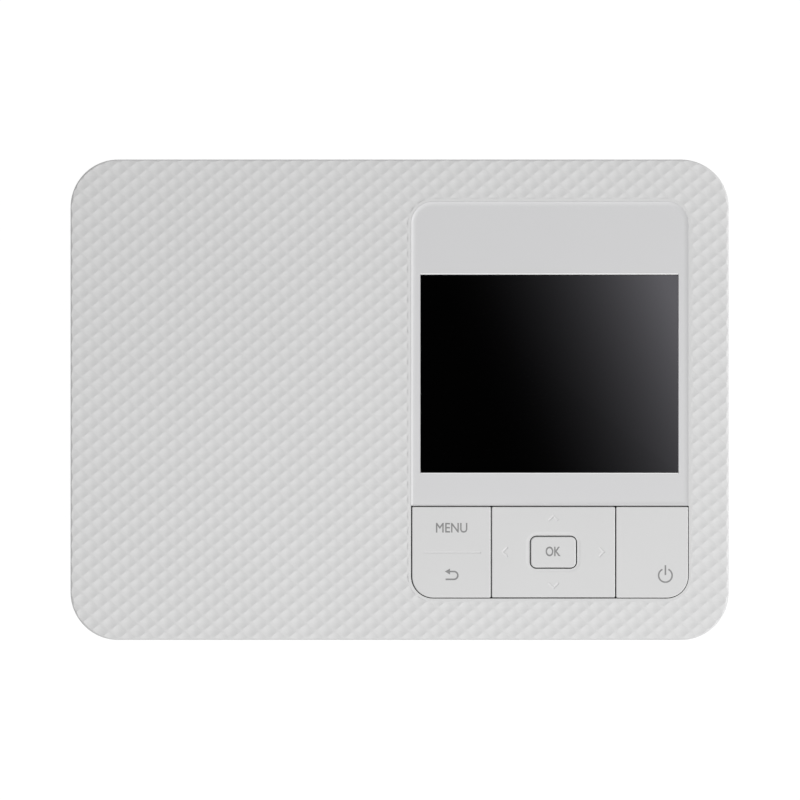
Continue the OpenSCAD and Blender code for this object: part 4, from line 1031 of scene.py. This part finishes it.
# ---- Case screws ----
# Four long cross-head screws of plated steel, sunk in the wells beside the feet. They
# run up into the pillars of the lid and hold the case together.
SCREW_R, SCREW_EDGE, SCREW_LOW = 2.9, 0.7, FOOT_H + 0.9
SHANK_R, SHANK_UP = 1.1, 12
CROSS_LONG, CROSS_THIN, CROSS_TOP = 1.6, 0.3, FOOT_H + 1.9
screw = post("case_screw", SCREW_R, PILLAR_X, PILLAR_Y, SCREW_LOW, FOOT_H + WELL_DEPTH)
soften(screw, SCREW_EDGE, 5, lambda m, r: m.z < SCREW_LOW + NEAR)
weld(screw, post("shank", SHANK_R, PILLAR_X, PILLAR_Y, FOOT_H + 2, BASE_TOP + SHANK_UP, 24))
for wide, deep in ((CROSS_LONG, CROSS_THIN), (CROSS_THIN, CROSS_LONG)):
    cut(screw, block("cross", (PILLAR_X - wide, PILLAR_Y - deep, FOOT_H),
                     (PILLAR_X + wide, PILLAR_Y + deep, CROSS_TOP)))
screws = at_corners(screw, PILLAR_X, PILLAR_Y)

METAL_SPREAD, METAL_RELIEF = 0.08, 0.003


def metal(name, code, roughness, scratch, stretch):
    """A metal with fine lines along one axis: scratch is their spacing in millimetres."""
    material, tree, shader, place = raw_material(name)
    drawn = node(tree, "ShaderNodeMapping", inputs={"Vector": place, "Scale": stretch})
    lines = node(tree, "ShaderNodeTexNoise", inputs={
        "Vector": drawn.outputs[0], "Scale": 1 / (scratch * MM), "Detail": 3.0})
    gloss = node(tree, "ShaderNodeMapRange", inputs={
        "Value": lines.outputs["Fac"],
        "To Min": roughness - METAL_SPREAD, "To Max": roughness + METAL_SPREAD})
    bump = node(tree, "ShaderNodeBump", inputs={
        "Height": lines.outputs["Fac"], "Distance": METAL_RELIEF * MM, "Strength": 1.0})
    feed(tree, shader, {"Base Color": colour(code), "Metallic": 1.0,
                        "Roughness": gloss.outputs[0], "Normal": bump.outputs[0]})
    return material


# zinc-plated steel: a cool grey metal with a soft, slightly streaked shine
zinc_steel = metal("zinc_plated_steel", "#B9BCBE", 0.32, 0.25, (0.15, 1, 1))
finish(screws, zinc_steel, "printer", "plated_steel", "case_screws")


# ---- Finishes of the CAD pieces that stay ----
# Every other piece, most of them inside the case, keeps its CAD shape and gets the
# finish of its real material by its material slot.
slot_finish = {
    "shell_plastic": abs_shell,
    "cover_plastic": abs_light_grey,
    "key_plastic": abs_key,
    "screen_black": polished_black,
    # glass-filled polycarbonate of the cassette and the motor ends: black, a dull sheen
    "dark_plastic": moulding("polycarbonate_black_satin", "#232325", 0.45, 0.2, 0.006, 0.08, 1.58),
    # circuit boards under their lacquer: deep green, glossy and a little cloudy
    "board_green": moulding("solder_resist_green", "#1D5A38", 0.3, 0.4, 0.004, 0.1, 1.5),
    "plated_steel": zinc_steel,
    "foot_rubber": foot_rubber,
    # rollers ground to size: black and matt, with the grain of the grinding wheel
    "roller_rubber": moulding("rubber_black_ground", "#202021", 0.75, 0.15, 0.01, 0.05, 1.52),
    # uncoloured acetal of the gears: a warm white that looks waxy
    "gear_acetal": moulding("acetal_natural_satin", "#E6E4DA", 0.35, 0.5, 0.002, 0.02, 1.48),
    # turned brass of the pinions: yellow, with fine rings that streak the shine
    "pinion_brass": metal("brass_turned", "#D2A24C", 0.25, 0.1, (0.2, 1, 1)),
    # the dye film wound on its spool: glossy, its colour uneven as the layers differ
    "dye_film": moulding("polyester_film_dye", "#B02A68", 0.15, 2.0, 0.002, 0.1, 1.6),
    # the same film once its dye is used: almost black, and as glossy
    "spent_film": moulding("polyester_film_spent", "#2B2B30", 0.15, 2.0, 0.002, 0.1, 1.6),
    # extruded aluminium of the heat sink: pale, with drawn lines along its length
    "head_aluminium": metal("aluminium_extruded", "#C9CBCC", 0.4, 0.2, (0.1, 1, 1)),
    # glazed ceramic of the print head: cream and glassy
    "head_ceramic": moulding("ceramic_glazed", "#E3DCCB", 0.2, 0.4, 0.001, 0.03, 1.52),
    # ABS of the eject lever, coloured so that the finger finds it
    "lever_plastic": moulding("abs_blue_satin", "#2F5FA8", 0.4, 0.2, 0.004),
    # moulded epoxy of the chips: black, flat and slightly dusty
    "chip_plastic": moulding("epoxy_black_matt", "#1B1B1D", 0.6, 0.2, 0.005, 0.08),
    # polyimide of the flat cable: a clear amber film, glossy
    "flex_film": moulding("polyimide_film", "#C07A22", 0.25, 1.0, 0.002, 0.05, 1.7),
}
for part in frame["record"]["subparts"]:
    for material_slot in frame["nodes"][part["node"]].material_slots:
        material_slot.material = slot_finish[part["material_slot"]]
